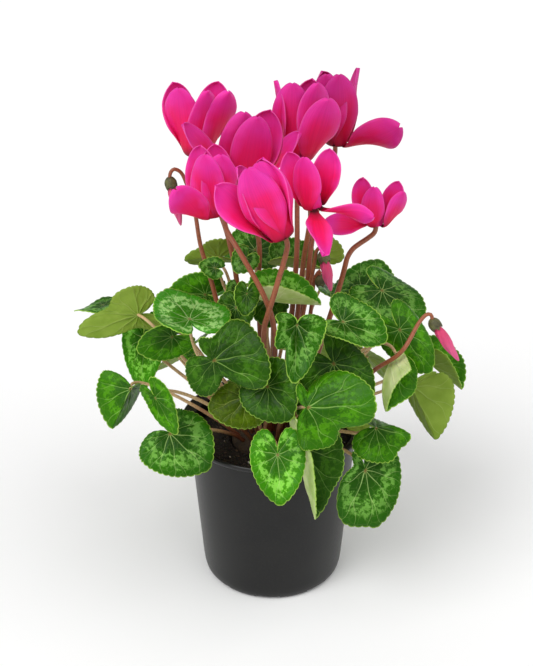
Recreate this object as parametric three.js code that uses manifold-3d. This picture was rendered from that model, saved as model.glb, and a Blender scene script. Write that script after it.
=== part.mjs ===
// A potted cyclamen: a 12 cm nursery pot with its soil, the flat tuber, eight open blooms, four
// nodding buds and about fifty heart-shaped leaves on their stalks.
// Millimetres, Z up. The pot stands on Z = 0 round the Z axis, and the plant's front faces -Y.
import * as THREE from "three";
import { mergeVertices } from "three/addons/utils/BufferGeometryUtils.js";
import Module from "manifold-3d";

const wasm = await Module();
wasm.setup();

// Pot
const RIM_RADIUS = 60;
const POT_HEIGHT = 112;
const RIM_DROP = 4;
const WALL = 1.4;
const WALL_TOP_RADIUS = 54.5;
const WALL_LOW_RADIUS = 47;
const CORNER_HEIGHT = 10;
const CORNER_INSET = 4;
const FLOOR = 2;
const POT_SIDES = 32;
const SOIL_SIDES = 20;
const CHANNELS = 8;
const DRAIN_HOLES = 4;
const CHANNEL_WIDTH = 16;
const CHANNEL_HEIGHT = 2.4;
const CHANNEL_TURN = -94;
const DRAIN_RING = 26;
const DRAIN_RADIUS = 3;

// Soil and tuber
const SOIL_TOP = 100;
const TUBER_RADIUS = 27;
const TUBER_HALF_HEIGHT = 13;
const TUBER_CENTRE = 98;
const GAP = 0.3;
const SLIVER = 0.15;

// Stalks
const ROOT_SPACING = 5.4;
const ROOT_RING = 23.5;
const STALK_SPACING = 5.6;
const BLADE_SPACING = 5;
const POINT_STEP = 6;
const LEAF_STALK_BASE = 1.35;
const LEAF_STALK_TOP = 0.95;
const FLOWER_STALK_BASE = 1.9;
const FLOWER_STALK_TOP = 1.45;

// Leaf blades: the heart outline round the stalk's joint, as degrees from the tip and a share of the length
const BLADE_THICKNESS = 0.7;
const TOOTH = 1.3;
const HEART = [
  [0, 1], [12, 0.93], [30, 0.84], [55, 0.77], [85, 0.74],
  [115, 0.72], [138, 0.66], [155, 0.54], [168, 0.3], [180, 0.06],
];

// Blooms
const PETAL_THICKNESS = 0.8;
const PETAL_BROAD = 0.5;
const MOUTH_RADIUS = 4.6;
const STALK_GAP = 112;
const ROLL_OVER = 150;
const ROLL_LENGTH = 2.4;
const TUBE_DEPTH = 8;
const PETAL_ROWS = [0, 0.14, 0.42, 0.75, 1];

const rad = THREE.MathUtils.degToRad;
const vec = (x, y, z) => new THREE.Vector3(x, y, z);
const clamp = THREE.MathUtils.clamp;

// Each leaf: name, joint of stalk and blade, [heading, pitch, roll] of the blade, length from joint to tip,
// and its shape. Heading is the tip's direction seen from above, pitch lifts the tip, roll lifts its left side.
// side rolls both halves up round the midrib, fold folds them up along it, droop bends the tip down, and each
// of its notches is a dent in the outline: [degrees from the tip, share of the reach, breadth in degrees].
const PLAIN_LEAF = {
  width: 1, side: 0, fold: 0, droop: 0, wave: 1.5, waves: 3, phase: 0, lobes: 0, back: 1,
  notches: [], node: null,
};

function leaf(name, at, [heading, pitch, roll], size, shape = {}) {
  return { ...PLAIN_LEAF, name, at: vec(...at), heading, pitch, roll, size, ...shape };
}

const LEAVES = [
  // front
  leaf("leaf_front_heart", [3, -90, 143], [-85, -55, 5], 30, { width: 0.74, side: 12, droop: 5, wave: 1 }),
  leaf("leaf_front_fold", [14, -68, 133], [-59, -60, -25], 45,
    { width: 0.86, fold: 52, wave: 1, notches: [[28, 0.1, 20]] }),
  leaf("leaf_right_low", [56, -65.5, 116], [-55, -70, 30], 37.5,
    { width: 0.8, side: -10, notches: [[-40, -0.32, 22], [-118, 0.65, 42]] }),
  leaf("leaf_right_point", [62, -61, 143], [-15, -5, 25], 25,
    { width: 1.2, fold: -40, wave: 2, notches: [[-25, 0.15, 15], [45, 0.45, 40]] }),
  leaf("leaf_centre_big", [20, -84, 171], [-8, 5, 60], 45,
    { width: 0.84, fold: -12, wave: 4, phase: 40, back: 0.3, notches: [[0, 0.1, 14], [-39, 0.34, 18], [-80,
      0.1, 30], [100, 0.65, 32]] }),
  leaf("leaf_centre_left", [-34, -63, 190], [-15, -22, 75], 39,
    { fold: -15, wave: 3, phase: 20, back: 0.8, notches: [[0, 0.08, 14], [-42, 0.6, 27], [-120, 0.15, 40],
      [125, 0.45, 27]] }),
  leaf("leaf_centre_marble", [14, -62, 213], [-97, -60, -10], 35,
    { width: 0.8, fold: 35, wave: 3, waves: 4, phase: 90, back: 0.35, notches: [[-32, 0.4, 15], [-85, 0.3,
      30], [60, 0.12, 40]] }),
  leaf("leaf_centre_dark", [36, -50, 181], [-15, -45, 50], 34,
    { width: 0.95, side: -15, notches: [[90, 0.25, 50]] }),
  leaf("leaf_crown_low", [-16, -55, 161], [-175, -18, -62], 25,
    { width: 1.05, back: 0.8, notches: [[-60, 0.3, 40]], node: "leaves_crown" }),
  leaf("leaf_crown_mid", [-3, -60, 171], [-50, -30, 50], 26, { node: "leaves_crown" }),
  leaf("leaf_low_fill", [27, -48, 157], [-40, -50, 45], 22, { node: "leaves_low" }),
  leaf("leaf_behind_point", [55, -24, 132], [-120, -60, 135], 16, { width: 0.9, node: "leaves_low" }),
  // right
  leaf("leaf_right_marble", [41, -45, 206], [-12, -20, 32], 30,
    { width: 0.95, fold: 22, wave: 2, back: 0.8, notches: [[75, 0.2, 50], [-70, 0.2, 45]] }),
  leaf("leaf_right_curl", [74, -40, 182], [-158, -50, -110], 38,
    { width: 0.85, fold: 60, droop: -64, wave: 1, back: 0.25, notches: [[110, 0.35, 45], [35, -0.12, 20]] }),
  leaf("leaf_right_under", [88, -13, 144], [-45, -55, -103], 38,
    { width: 0.95, fold: 38, wave: 1, back: 0.2, notches: [[-105, 0.3, 25], [88, 0.4, 45]] }),
  leaf("leaf_right_far", [103, 16, 144], [-20, -35, 0], 27, { fold: 58, node: "leaves_right_far" }),
  leaf("leaf_right_mid", [77, -24, 190], [-35, -45, 45], 33,
    { width: 0.7, side: -55, node: "leaves_right_far" }),
  leaf("leaf_right_up", [69, 16, 197], [-28, -22, 15], 33,
    { width: 0.95, side: -25, node: "leaves_right_up" }),
  leaf("leaf_right_back", [59, 46, 183], [60, 22, 0], 30, { side: -10, node: "leaves_right_up" }),
  // middle
  leaf("leaf_mid_bright", [0, -22, 208], [0, -5, 5], 30, { width: 0.95, fold: 55, wave: 1 }),
  leaf("leaf_mid_top", [9, 22, 211], [0, -5, 10], 24, { width: 1.1, fold: 50, wave: 1 }),
  leaf("leaf_mid_fill", [-3, -7, 203], [-80, -60, 10], 19, { side: -20 }),
  leaf("leaf_top_back", [-11, 38, 215], [80, 25, 0], 28, { node: "leaves_top" }),
  leaf("leaf_top_right", [32, 36, 212], [0, -12, -120], 17,
    { width: 1.1, back: 0.3, notches: [[70, 0.7, 60]], node: "leaves_top" }),
  leaf("leaf_top_left", [-34, 19, 219], [178, -5, 58], 23,
    { width: 0.95, fold: 16, notches: [[40, 0.3, 30]] }),
  leaf("leaf_small_curl", [-35, 0, 220], [175, 10, -50], 11, { width: 0.9, wave: 1, node: "leaves_small" }),
  leaf("leaf_small_tip", [-16, 0, 227], [-150, -45, -50], 12, { wave: 1, node: "leaves_small" }),
  leaf("leaf_small_marble", [-22, -6, 209], [-110, -60, -20], 10,
    { width: 0.9, wave: 1, node: "leaves_young" }),
  leaf("leaf_mid_dark", [-15, -36, 220], [-100, -60, -10], 14,
    { width: 0.75, side: 10, node: "leaves_young" }),
  leaf("leaf_left_fill", [-22, -18, 202], [-107, -60, -5], 19, { width: 0.85, node: "leaves_young" }),
  // left
  leaf("leaf_left_marble", [-49, -38, 204], [120, 12, 8], 31,
    { width: 1.12, side: 20, wave: 2, phase: 60, notches: [[70, 0.15, 40]] }),
  leaf("leaf_left_bowl", [-61, -22, 184], [-170, -20, -90], 24, { width: 0.8, side: 35 }),
  leaf("leaf_left_hang", [-81.5, 3, 170], [-100, -70, 5], 35, { width: 0.55 }),
  leaf("leaf_left_low", [-87, -32, 153], [-140, -55, -70], 28, { width: 1.2, fold: -52, back: 0.3 }),
  leaf("leaf_left_fold", [-69, -63, 165], [-38, -50, 60], 26,
    { width: 0.55, side: 25, back: 0.9, notches: [[-90, 0.45, 45]] }),
  leaf("leaf_left_bottom", [-62, -56, 136], [-25, -35, 40], 33,
    { side: -10, back: 0.55, notches: [[105, 0.25, 35]] }),
  leaf("leaf_left_back", [-42, 8, 198], [180, 5, -80], 24, { width: 0.85, node: "leaves_left_back" }),
  leaf("leaf_left_tiny", [-51, 5, 157], [-175, -15, -40], 9, { width: 0.7, node: "leaves_left_back" }),
  leaf("leaf_far_left", [-83, -6, 191], [-170, -15, 100], 43,
    { width: 0.6, side: 10, back: 0.6, notches: [[-70, 0.55, 50], [45, 0.3, 22]], node: "leaves_far_left" }),
  leaf("leaf_far_left_up", [-108, 20, 185], [182, -12, 8], 20, { width: 0.8, node: "leaves_far_left" }),
  // back
  leaf("leaf_back_left", [-51, 70, 164], [150, -20, -10], 34,
    { side: -15, wave: 2, node: "leaves_back_left" }),
  leaf("leaf_back_left_low", [-64, 62, 128], [135, -45, -5], 34,
    { width: 0.95, wave: 2, node: "leaves_back_left" }),
  leaf("leaf_back_mid", [-7, 92, 164], [95, -25, 5], 36, { side: -15, wave: 2, node: "leaves_back_mid" }),
  leaf("leaf_back_mid_low", [-23, 92, 117], [105, -55, 0], 32,
    { width: 0.9, wave: 2, node: "leaves_back_mid" }),
  leaf("leaf_back_right", [34, 78, 171], [60, -25, 8], 35, { side: -15, wave: 2, node: "leaves_back_right" }),
  leaf("leaf_back_right_low", [23, 92, 117], [70, -55, 0], 33,
    { width: 0.9, wave: 2, node: "leaves_back_right" }),
  leaf("leaf_back_far_right", [67, 52, 158], [25, -30, 12], 34,
    { width: 0.95, side: -15, node: "leaves_back_end" }),
  leaf("leaf_back_end_right", [66, 60, 126], [40, -55, 0], 32, { width: 0.9, node: "leaves_back_end" }),
];

// Each bloom: name, centre of its mouth, petal length, [tilt, heading] of its axis, heading of the gap that
// holds the stalk, then for its five petals the lean from the axis, the twist, the turn and the bend, and the
// points that its stalk passes on its way up.
function bloom(name, at, petal, [tilt, toward], gap, lean, twist, turn, bend, via) {
  return { name, at: vec(...at), petal, tilt, toward, gap, lean, twist, turn, bend, via };
}

const BLOOMS = [
  bloom("left_high", [-46, 28, 284], 46, [2, 0], 100,
    [12, 12, 8, 20, 12], [40, -40, -15, 40, -40], [0, 0, 20, 0, 0], [0, -8, 0, -6, 0],
    [[-23, 8, 203], [-28, 14, 229], [-34, 19, 250]]),
  bloom("mid_back", [-17.5, 0, 273], 50, [8, 0], 100,
    [44, 0, 4, 34, 6], [15, -55, 0, -30, -40], [24, 14, 4, 0, -5], [0, 0, 0, -10, 0],
    [[-8, 6, 207], [-9, 8, 239]]),
  bloom("left_mid", [-36, -22.5, 265], 42, [3, 180], 10,
    [5, 2, 54, 2, 8], [-40, 40, -55, 20, 40], [0, -20, 54, 16, 0], [0, 0, -20, 0, 0],
    [[0, -36, 198], [-6, -38, 219], [-17, -32, 240]]),
  bloom("front", [5, -50, 263], 49, [22, 180], 90,
    [2, 24, 0, -2, 0], [0, 60, -20, 30, -40], [14, -18, -10, -15, -18], [0, -10, 0, 0, 0],
    [[-5, -40, 198], [-3, -44, 209], [3, -48, 233]]),
  bloom("top_left", [16, 16, 285], 50, [2, 180], 100,
    [8, -4, 32, 6, 4], [-30, -40, 30, 40, -40], [4, 15, 30, 0, -8], [0, 0, -14, 0, 0],
    [[14, 3, 212], [15, 6, 232], [15, 16, 255]]),
  bloom("top_right", [40, 36, 288], 47, [2, 180], 100,
    [3, 0, -2, 70, 16], [30, -40, 0, 80, 40], [0, 0, 0, -24, 0], [0, 0, 0, -14, 0],
    [[23, 4, 206], [24, 8, 224], [28, 24, 249]]),
  bloom("low_mid", [23, -30, 273], 35, [3, 180], 100,
    [12, 2, 116, 88, 9], [45, 0, 50, 70, -50], [0, 26, -4, -15, -12], [0, 0, 0, 0, 0],
    [[17, -3, 206], [19, -9, 231]]),
  bloom("right", [61, -5, 252], 29, [4, 0], 78,
    [9, 84, 10, 30, 20], [70, 60, 0, 30, -30], [6, 0, -10, 8, 8], [0, 0, -10, -20, -10],
    [[39, -8, 204], [43, -6, 219], [47, -5, 233]]),
];

// Each bud: name, top of its calyx, the way it points, length of its rolled petals, and its stalk's way up
// with the hook at its end.
function bud(name, at, point, petal, via, hook) {
  return { name, at: vec(...at), point: vec(...point).normalize(), petal, via, hook };
}

const BUDS = [
  bud("left", [-61, 4, 276], [0.2, -0.07, -1], 25,
    [[-36, 4, 203], [-43, 6, 230], [-47, 8, 255]], [[-51, 7, 271], [-54, 6, 279], [-58, 5, 282], [-60.5, 4, 280]]),
  bud("mid", [30, -14, 236], [0.22, -0.13, -1], 20,
    [[20, -9, 200], [24, -10, 220]], [[25.5, -11, 231], [26.5, -12, 237], [29, -13.5, 239.5]]),
  bud("right", [94, -42, 205], [0.6, -0.1, -0.9], 26,
    [[50, -32, 150], [61, -40, 170], [76, -53, 191]], [[86, -44, 205], [90, -42, 209], [93, -42, 209]]),
  bud("green", [29, 0, 214], [0.2, 0, -1], 6,
    [[22, 2, 180], [25, 1, 205]], [[26, 0, 213], [28, 0, 217], [29, 0, 218]]),
];

// Closed solids

function closedGeometry(points, triangles) {
  const geometry = new THREE.BufferGeometry();
  geometry.setAttribute("position", new THREE.Float32BufferAttribute(points.flatMap((p) => [p.x, p.y, p.z]), 3));
  geometry.setIndex(triangles.flat());
  return geometry;
}

function solid(geometry) {
  const bare = new THREE.BufferGeometry().setAttribute("position", geometry.getAttribute("position"));
  bare.setIndex(geometry.getIndex());
  const merged = mergeVertices(bare, 1e-3);
  return new wasm.Manifold(new wasm.Mesh({
    numProp: 3,
    vertProperties: merged.attributes.position.array,
    triVerts: new Uint32Array(merged.index.array),
  }));
}

function geometryOf(manifold) {
  const made = manifold.getMesh();
  const geometry = new THREE.BufferGeometry();
  const xyz = new Float32Array(made.numVert * 3);
  for (let i = 0; i < made.numVert; i++) {
    xyz.set(made.vertProperties.subarray(i * made.numProp, i * made.numProp + 3), i * 3);
  }
  geometry.setAttribute("position", new THREE.BufferAttribute(xyz, 3));
  geometry.setIndex(new THREE.BufferAttribute(made.triVerts, 1));
  const flat = geometry.toNonIndexed();
  flat.computeVertexNormals();
  return flat;
}

function largestBody(manifold) {
  return manifold.decompose().sort((a, b) => b.volume() - a.volume())[0];
}

// Joins solids into one body: the slivers that the joins leave are tidied away, and so are specks and any
// hollow that was sealed in.
function fused(solids) {
  const joined = solids.reduce((all, next) => all.add(next)).simplify(SLIVER);
  return largestBody(solid(geometryOf(largestBody(joined))));
}

function revolved(profile, sides) {
  const geometry = new THREE.LatheGeometry(profile.map(([r, z]) => new THREE.Vector2(r, z)), sides);
  geometry.rotateX(Math.PI / 2);
  return solid(geometry);
}

// A closed loft through rings of equal count, capped at both ends.
function loft(rings) {
  const count = rings[0].length;
  const points = rings.flat();
  const triangles = [];
  for (let i = 0; i + 1 < rings.length; i++) {
    for (let j = 0; j < count; j++) {
      const a = i * count + j;
      const b = i * count + (j + 1) % count;
      triangles.push([a, b, b + count], [a, b + count, a + count]);
    }
  }
  const last = (rings.length - 1) * count;
  for (let j = 1; j + 1 < count; j++) {
    triangles.push([0, j + 1, j], [last, last + j, last + j + 1]);
  }
  return solid(closedGeometry(points, triangles));
}

// A tapered stalk along a list of points, its rings carried along without twisting.
function stalk(path, baseRadius, topRadius, sides) {
  const rings = [];
  const side = vec(0.31, 0.87, 0.38);
  path.forEach((point, i) => {
    const before = path[Math.max(i - 1, 0)];
    const after = path[Math.min(i + 1, path.length - 1)];
    const along = after.clone().sub(before).normalize();
    side.addScaledVector(along, -side.dot(along)).normalize();
    const across = along.clone().cross(side);
    const radius = THREE.MathUtils.lerp(baseRadius, topRadius, i / (path.length - 1));
    const ring = [];
    for (let k = 0; k < sides; k++) {
      const angle = (2 * Math.PI * k) / sides;
      ring.push(point.clone()
        .addScaledVector(side, radius * Math.cos(angle))
        .addScaledVector(across, radius * Math.sin(angle)));
    }
    rings.push(ring);
  });
  return loft(rings);
}

// Leaves out the points of a path that a straight run comes close enough to.
function straightened(path, tolerance) {
  const first = path[0];
  const last = path[path.length - 1];
  const run = new THREE.Line3(first, last);
  let worst = 0;
  let at = 0;
  for (let i = 1; i + 1 < path.length; i++) {
    const off = run.closestPointToPoint(path[i], true, vec(0, 0, 0)).distanceTo(path[i]);
    if (off > worst) {
      worst = off;
      at = i;
    }
  }
  if (worst < tolerance) return [first, last];
  return [...straightened(path.slice(0, at + 1), tolerance), ...straightened(path.slice(at), tolerance).slice(1)];
}

// A sheet of even thickness on a mesh of points: both faces are split into triangles alike.
function sheet(points, triangles, border, thickness) {
  const middle = closedGeometry(points, triangles);
  middle.computeVertexNormals();
  const normals = middle.getAttribute("normal");
  const count = points.length;
  const offset = (i, side) => {
    const normal = vec(normals.getX(i), normals.getY(i), normals.getZ(i));
    return points[i].clone().addScaledVector(normal, (side * thickness) / 2);
  };
  const both = [...points.map((_, i) => offset(i, 1)), ...points.map((_, i) => offset(i, -1))];
  const faces = [...triangles, ...triangles.map(([a, b, c]) => [a + count, c + count, b + count])];
  border.forEach((a, i) => {
    const b = border[(i + 1) % border.length];
    faces.push([b, a, a + count], [b, a + count, b + count]);
  });
  return solid(closedGeometry(both, faces));
}

// Leaf blades

function heartReach(phi) {
  const turned = Math.abs(THREE.MathUtils.euclideanModulo(phi + Math.PI, 2 * Math.PI) - Math.PI);
  const angles = [-rad(HEART[1][0]), ...HEART.map(([a]) => rad(a)), rad(360 - HEART[HEART.length - 2][0])];
  const reaches = [HEART[1][1], ...HEART.map(([, r]) => r), HEART[HEART.length - 2][1]];
  let i = 1;
  while (i < angles.length - 3 && turned >= angles[i + 1]) i++;
  const step = angles[i + 1] - angles[i];
  const t = (turned - angles[i]) / step;
  const slopeAt = (k) => ((reaches[k + 1] - reaches[k - 1]) / (angles[k + 1] - angles[k - 1])) * step;
  const from = i === 1 ? reaches[2] - reaches[1] : slopeAt(i);
  const to = slopeAt(i + 1);
  const t2 = t * t;
  const t3 = t2 * t;
  return (2 * t3 - 3 * t2 + 1) * reaches[i] + (t3 - 2 * t2 + t) * from
    + (3 * t2 - 2 * t3) * reaches[i + 1] + (t3 - t2) * to;
}

// How far a blade's edge lies from the joint, with its dents.
function edgeReach(spec, phi) {
  let reach = heartReach(phi) * spec.size;
  for (const [angle, depth, breadth] of spec.notches) {
    const off = THREE.MathUtils.euclideanModulo(THREE.MathUtils.radToDeg(phi) - angle + 180, 360) - 180;
    reach *= 1 - depth * Math.exp(-((off / breadth) ** 2));
  }
  return reach;
}

// A bend that keeps lengths: how far a distance runs along and off for a curvature.
function bent(distance, curvature) {
  if (Math.abs(curvature) < 1e-7) return [distance, 0];
  return [Math.sin(curvature * distance) / curvature, (1 - Math.cos(curvature * distance)) / curvature];
}

function bladeAxes({ heading, pitch, roll }) {
  const [h, p, r] = [rad(heading), rad(pitch), rad(roll)];
  const tip = vec(Math.cos(h) * Math.cos(p), Math.sin(h) * Math.cos(p), Math.sin(p));
  const level = vec(-Math.sin(h), Math.cos(h), 0);
  const rise = tip.clone().cross(level);
  const left = level.multiplyScalar(Math.cos(r)).addScaledVector(rise, Math.sin(r));
  return { tip, left, up: tip.clone().cross(left) };
}

// The point of a blade at an angle from the tip and a share of the way from the joint to the edge.
function bladePoint(spec, phi, share, reachMore = 0) {
  const reach = edgeReach(spec, phi) + reachMore;
  const alongFlat = reach * share * Math.cos(phi);
  const along = alongFlat < 0 ? alongFlat * spec.back : alongFlat;
  const across = reach * share * Math.sin(phi) * spec.width;
  const half = 0.75 * spec.size * spec.width;
  const [rolledOut, rolledUp] = bent(Math.abs(across), rad(spec.side) / half);
  const fold = rad(spec.fold);
  const out = Math.sign(across) * (rolledOut * Math.cos(fold) - rolledUp * Math.sin(fold));
  const backness = clamp((Math.abs(phi) - rad(100)) / rad(70), 0, 1);
  const up = rolledOut * Math.sin(fold) + rolledUp * Math.cos(fold)
    + spec.wave * share ** 3 * Math.sin(spec.waves * phi + rad(spec.phase))
    + spec.lobes * backness ** 2 * (3 - 2 * backness) * share;
  const droop = -rad(spec.droop) / spec.size;
  const [forward, drop] = bent(along, droop);
  const x = forward - up * Math.sin(droop * along);
  const z = drop + up * Math.cos(droop * along);
  const axes = bladeAxes(spec);
  return spec.at.clone()
    .addScaledVector(axes.tip, x)
    .addScaledVector(axes.left, out)
    .addScaledVector(axes.up, z);
}

function bladeSolid(spec) {
  const edge = spec.size < 34 ? 18 : 24;
  const inner = edge / 3;
  const points = [bladePoint(spec, 0, 0)];
  for (let i = 0; i < inner; i++) {
    points.push(bladePoint(spec, -Math.PI + (2 * Math.PI * i) / inner, 0.55));
  }
  for (let j = 0; j < edge; j++) {
    const tooth = j % 2 === 1 && j !== edge / 2 ? -TOOTH : 0;
    points.push(bladePoint(spec, -Math.PI + (2 * Math.PI * j) / edge, 1, tooth));
  }
  const triangles = [];
  for (let i = 0; i < inner; i++) {
    const a = 1 + i;
    const b = 1 + (i + 1) % inner;
    const first = 1 + inner + 3 * i;
    const last = 1 + inner + (3 * i + 3) % edge;
    triangles.push([0, a, b], [a, first, first + 1], [a, first + 1, first + 2]);
    triangles.push([a, first + 2, b], [b, first + 2, last]);
  }
  const border = Array.from({ length: edge }, (_, j) => 1 + inner + j);
  return sheet(points, triangles, border, BLADE_THICKNESS);
}

// Where stalks root on the tuber

function tuberPoint(x, y, lift) {
  const flat = 1 - (x * x + y * y) / TUBER_RADIUS ** 2;
  const height = TUBER_HALF_HEIGHT * Math.sqrt(flat);
  const normal = vec(x / TUBER_RADIUS ** 2, y / TUBER_RADIUS ** 2, height / TUBER_HALF_HEIGHT ** 2).normalize();
  return { at: vec(x, y, TUBER_CENTRE + height).addScaledVector(normal, lift), normal };
}

// Roots start in the direction that their stalk leaves in, low and far ones at the tuber's edge, and are
// moved apart to an even spacing.
function placeRoots(stems) {
  const roots = new Map();
  for (const stem of stems) {
    if (roots.has(stem.node)) continue;
    const away = Math.hypot(stem.aim.x, stem.aim.y);
    const steep = (stem.aim.z - TUBER_CENTRE) / Math.max(away, 1);
    const ring = clamp(26 - 6.5 * steep, 4, ROOT_RING) + 0.1 * roots.size;
    roots.set(stem.node, { x: (stem.aim.x / away) * ring, y: (stem.aim.y / away) * ring });
  }
  const list = [...roots.values()];
  for (let round = 0; round < 300; round++) {
    const moves = list.map((a, i) => {
      const move = { x: 0, y: 0 };
      list.forEach((b, j) => {
        const distance = Math.hypot(a.x - b.x, a.y - b.y);
        if (i === j || distance >= ROOT_SPACING) return;
        const push = (0.3 * (ROOT_SPACING - distance)) / Math.max(distance, 0.01);
        move.x += push * (a.x - b.x);
        move.y += push * (a.y - b.y);
      });
      return move;
    });
    list.forEach((a, i) => {
      a.x += moves[i].x;
      a.y += moves[i].y;
      const away = Math.hypot(a.x, a.y);
      const keep = Math.min(1, ROOT_RING / away);
      a.x *= keep;
      a.y *= keep;
    });
  }
  return roots;
}

// Stalk routes

// Evenly spaced points along the first share of a curve.
function evenly(curve, share) {
  const fine = Array.from({ length: 201 }, (_, i) => curve.getPoint((share * i) / 200));
  const run = [0];
  for (let i = 1; i < fine.length; i++) run.push(run[i - 1] + fine[i].distanceTo(fine[i - 1]));
  const count = Math.max(4, Math.round(run[200] / POINT_STEP));
  const points = [];
  let i = 0;
  for (let k = 0; k <= count; k++) {
    const reach = (run[200] * k) / count;
    while (i < 199 && run[i + 1] < reach) i++;
    points.push(fine[i].clone().lerp(fine[i + 1], (reach - run[i]) / (run[i + 1] - run[i])));
  }
  return points;
}

function leafStem(spec) {
  const axes = bladeAxes(spec);
  const arrive = axes.tip.clone().multiplyScalar(0.35).addScaledVector(axes.up, 0.9).normalize();
  return {
    name: spec.name, node: spec.node ?? spec.name, aim: spec.at, end: spec.at, arrive, via: [], tail: [], own: spec.name,
  };
}

function bloomAxes({ tilt, toward, gap }) {
  const up = vec(Math.sin(rad(tilt)) * Math.cos(rad(toward)), Math.sin(rad(tilt)) * Math.sin(rad(toward)),
    Math.cos(rad(tilt)));
  const out = vec(Math.cos(rad(gap)), Math.sin(rad(gap)), 0);
  out.addScaledVector(up, -out.dot(up)).normalize();
  return { out, side: up.clone().cross(out), up };
}

// The stalk comes up beside the mouth, in the gap between two petals, and hooks over to the calyx.
const HOOK = [[8.2, -9], [7.9, 0], [7.6, 6], [6.6, 11.5], [3.6, 14.6], [0.8, 13.6], [0, 11]];

function bloomStem(spec) {
  const axes = bloomAxes(spec);
  const hook = HOOK.map(([r, z]) => spec.at.clone().addScaledVector(axes.out, r).addScaledVector(axes.up, z));
  return {
    name: "stalk_" + spec.name, node: "stalk_" + spec.name, aim: vec(...spec.via[0]), end: hook[0],
    arrive: axes.up, via: spec.via, tail: hook.slice(1), own: "bloom_" + spec.name,
  };
}

function budStem(spec) {
  const hook = [...spec.hook.map((p) => vec(...p)), spec.at.clone()];
  return {
    name: "stalk_bud_" + spec.name, node: "stalk_bud_" + spec.name, aim: vec(...spec.via[0]), end: hook[0],
    arrive: hook[1].clone().sub(hook[0]).normalize(), via: spec.via, tail: hook.slice(1), own: "bud_" + spec.name,
  };
}

function startPath(stem, root) {
  const start = tuberPoint(root.x, root.y, GAP + 0.1);
  const gap = stem.end.distanceTo(start.at);
  if (stem.via.length) {
    const lift = start.at.clone().addScaledVector(start.normal, 7);
    const points = [start.at, lift, ...stem.via.map((p) => vec(...p)), stem.end, stem.tail[0]];
    const curve = new THREE.CatmullRomCurve3(points, false, "centripetal");
    return evenly(curve, (points.length - 2) / (points.length - 1));
  }
  const curve = new THREE.CubicBezierCurve3(
    start.at,
    start.at.clone().addScaledVector(start.normal, 0.35 * gap),
    stem.end.clone().addScaledVector(stem.arrive, -0.3 * gap),
    stem.end,
  );
  return evenly(curve, 1);
}

// Points on a blade or a bloom that stalks keep away from.
function bladeMarks(spec) {
  const marks = [{ at: spec.at, own: spec.name }];
  for (const [share, count] of [[0.35, 8], [0.7, 16], [1, 24]]) {
    for (let i = 0; i < count; i++) {
      marks.push({ at: bladePoint(spec, -Math.PI + (2 * Math.PI * i) / count, share), own: spec.name });
    }
  }
  return marks;
}

function bloomMarks(spec) {
  const marks = [];
  for (let k = 0; k < 5; k++) {
    for (const along of [0.1, 0.3, 0.5, 0.7, 0.9]) {
      for (const across of [-1, 0, 1]) {
        marks.push({ at: petalPoint(spec, k, along, across), own: "bloom_" + spec.name });
      }
    }
  }
  return marks;
}

// Bends every stalk clear of the other stalks and of the blades, and keeps its ends where they are.
function routeStalks(stems, marks) {
  const fixedAtRoot = 2;
  const fixedAtEnd = 2;
  const shifts = stems.map((stem) => stem.path.map(() => vec(0, 0, 0)));
  for (let round = 0; round < 70; round++) {
    const placed = stems.map((stem, s) => stem.path.map((p, i) => p.clone().add(shifts[s][i])));
    stems.forEach((stem, s) => {
      for (let i = fixedAtRoot; i < stem.path.length - fixedAtEnd; i++) {
        const here = placed[s][i];
        const push = vec(0, 0, 0);
        const avoid = (there, spacing, strength) => {
          const away = here.clone().sub(there);
          const distance = away.length();
          if (distance < spacing) push.addScaledVector(away, (strength * (spacing - distance)) / Math.max(distance, 0.1));
        };
        stems.forEach((other, o) => {
          if (o === s) return;
          const skip = other.node === stem.node ? 4 : 0;
          for (let j = skip; j < placed[o].length; j++) avoid(placed[o][j], STALK_SPACING, 0.4);
        });
        for (const mark of marks) {
          if (mark.own !== stem.own) avoid(mark.at, BLADE_SPACING, 0.8);
        }
        shifts[s][i].add(push.clampLength(0, 1.5));
      }
    });
    for (const shift of shifts) {
      const before = shift.map((v) => v.clone());
      for (let i = fixedAtRoot; i < shift.length - fixedAtEnd; i++) {
        shift[i].multiplyScalar(0.5).addScaledVector(before[i - 1], 0.25).addScaledVector(before[i + 1], 0.25);
      }
    }
  }
  stems.forEach((stem, s) => {
    stem.path = stem.path.map((p, i) => p.clone().add(shifts[s][i]));
  });
}

// Petals

// The petal's midline from the mouth: it first runs down round the rim, then sweeps back and up.
function petalMidline(spec, k) {
  const length = spec.petal;
  const steps = 60;
  const line = [];
  let r = MOUTH_RADIUS;
  let z = 0;
  let before = null;
  for (let i = 0; i <= steps; i++) {
    const t = i / steps;
    const roll = (ROLL_OVER - spec.lean[k]) * Math.exp(-(((t * length) / ROLL_LENGTH) ** 1.5));
    const angle = rad(spec.lean[k] + spec.bend[k] * t + roll);
    if (before !== null) {
      r += (Math.sin((angle + before) / 2) * length) / steps;
      z += (Math.cos((angle + before) / 2) * length) / steps;
    }
    before = angle;
    line.push({ r, z, angle });
  }
  return line;
}

function petalHalfWidth(spec, t) {
  const rise = THREE.MathUtils.smoothstep(t, 0, 0.5);
  const close = clamp((t - 0.52) / 0.48, 0, 1);
  return ((spec.petal * PETAL_BROAD) / 2) * (0.24 + 0.76 * rise) * (1 - close ** 2.1) ** 0.58;
}

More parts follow.
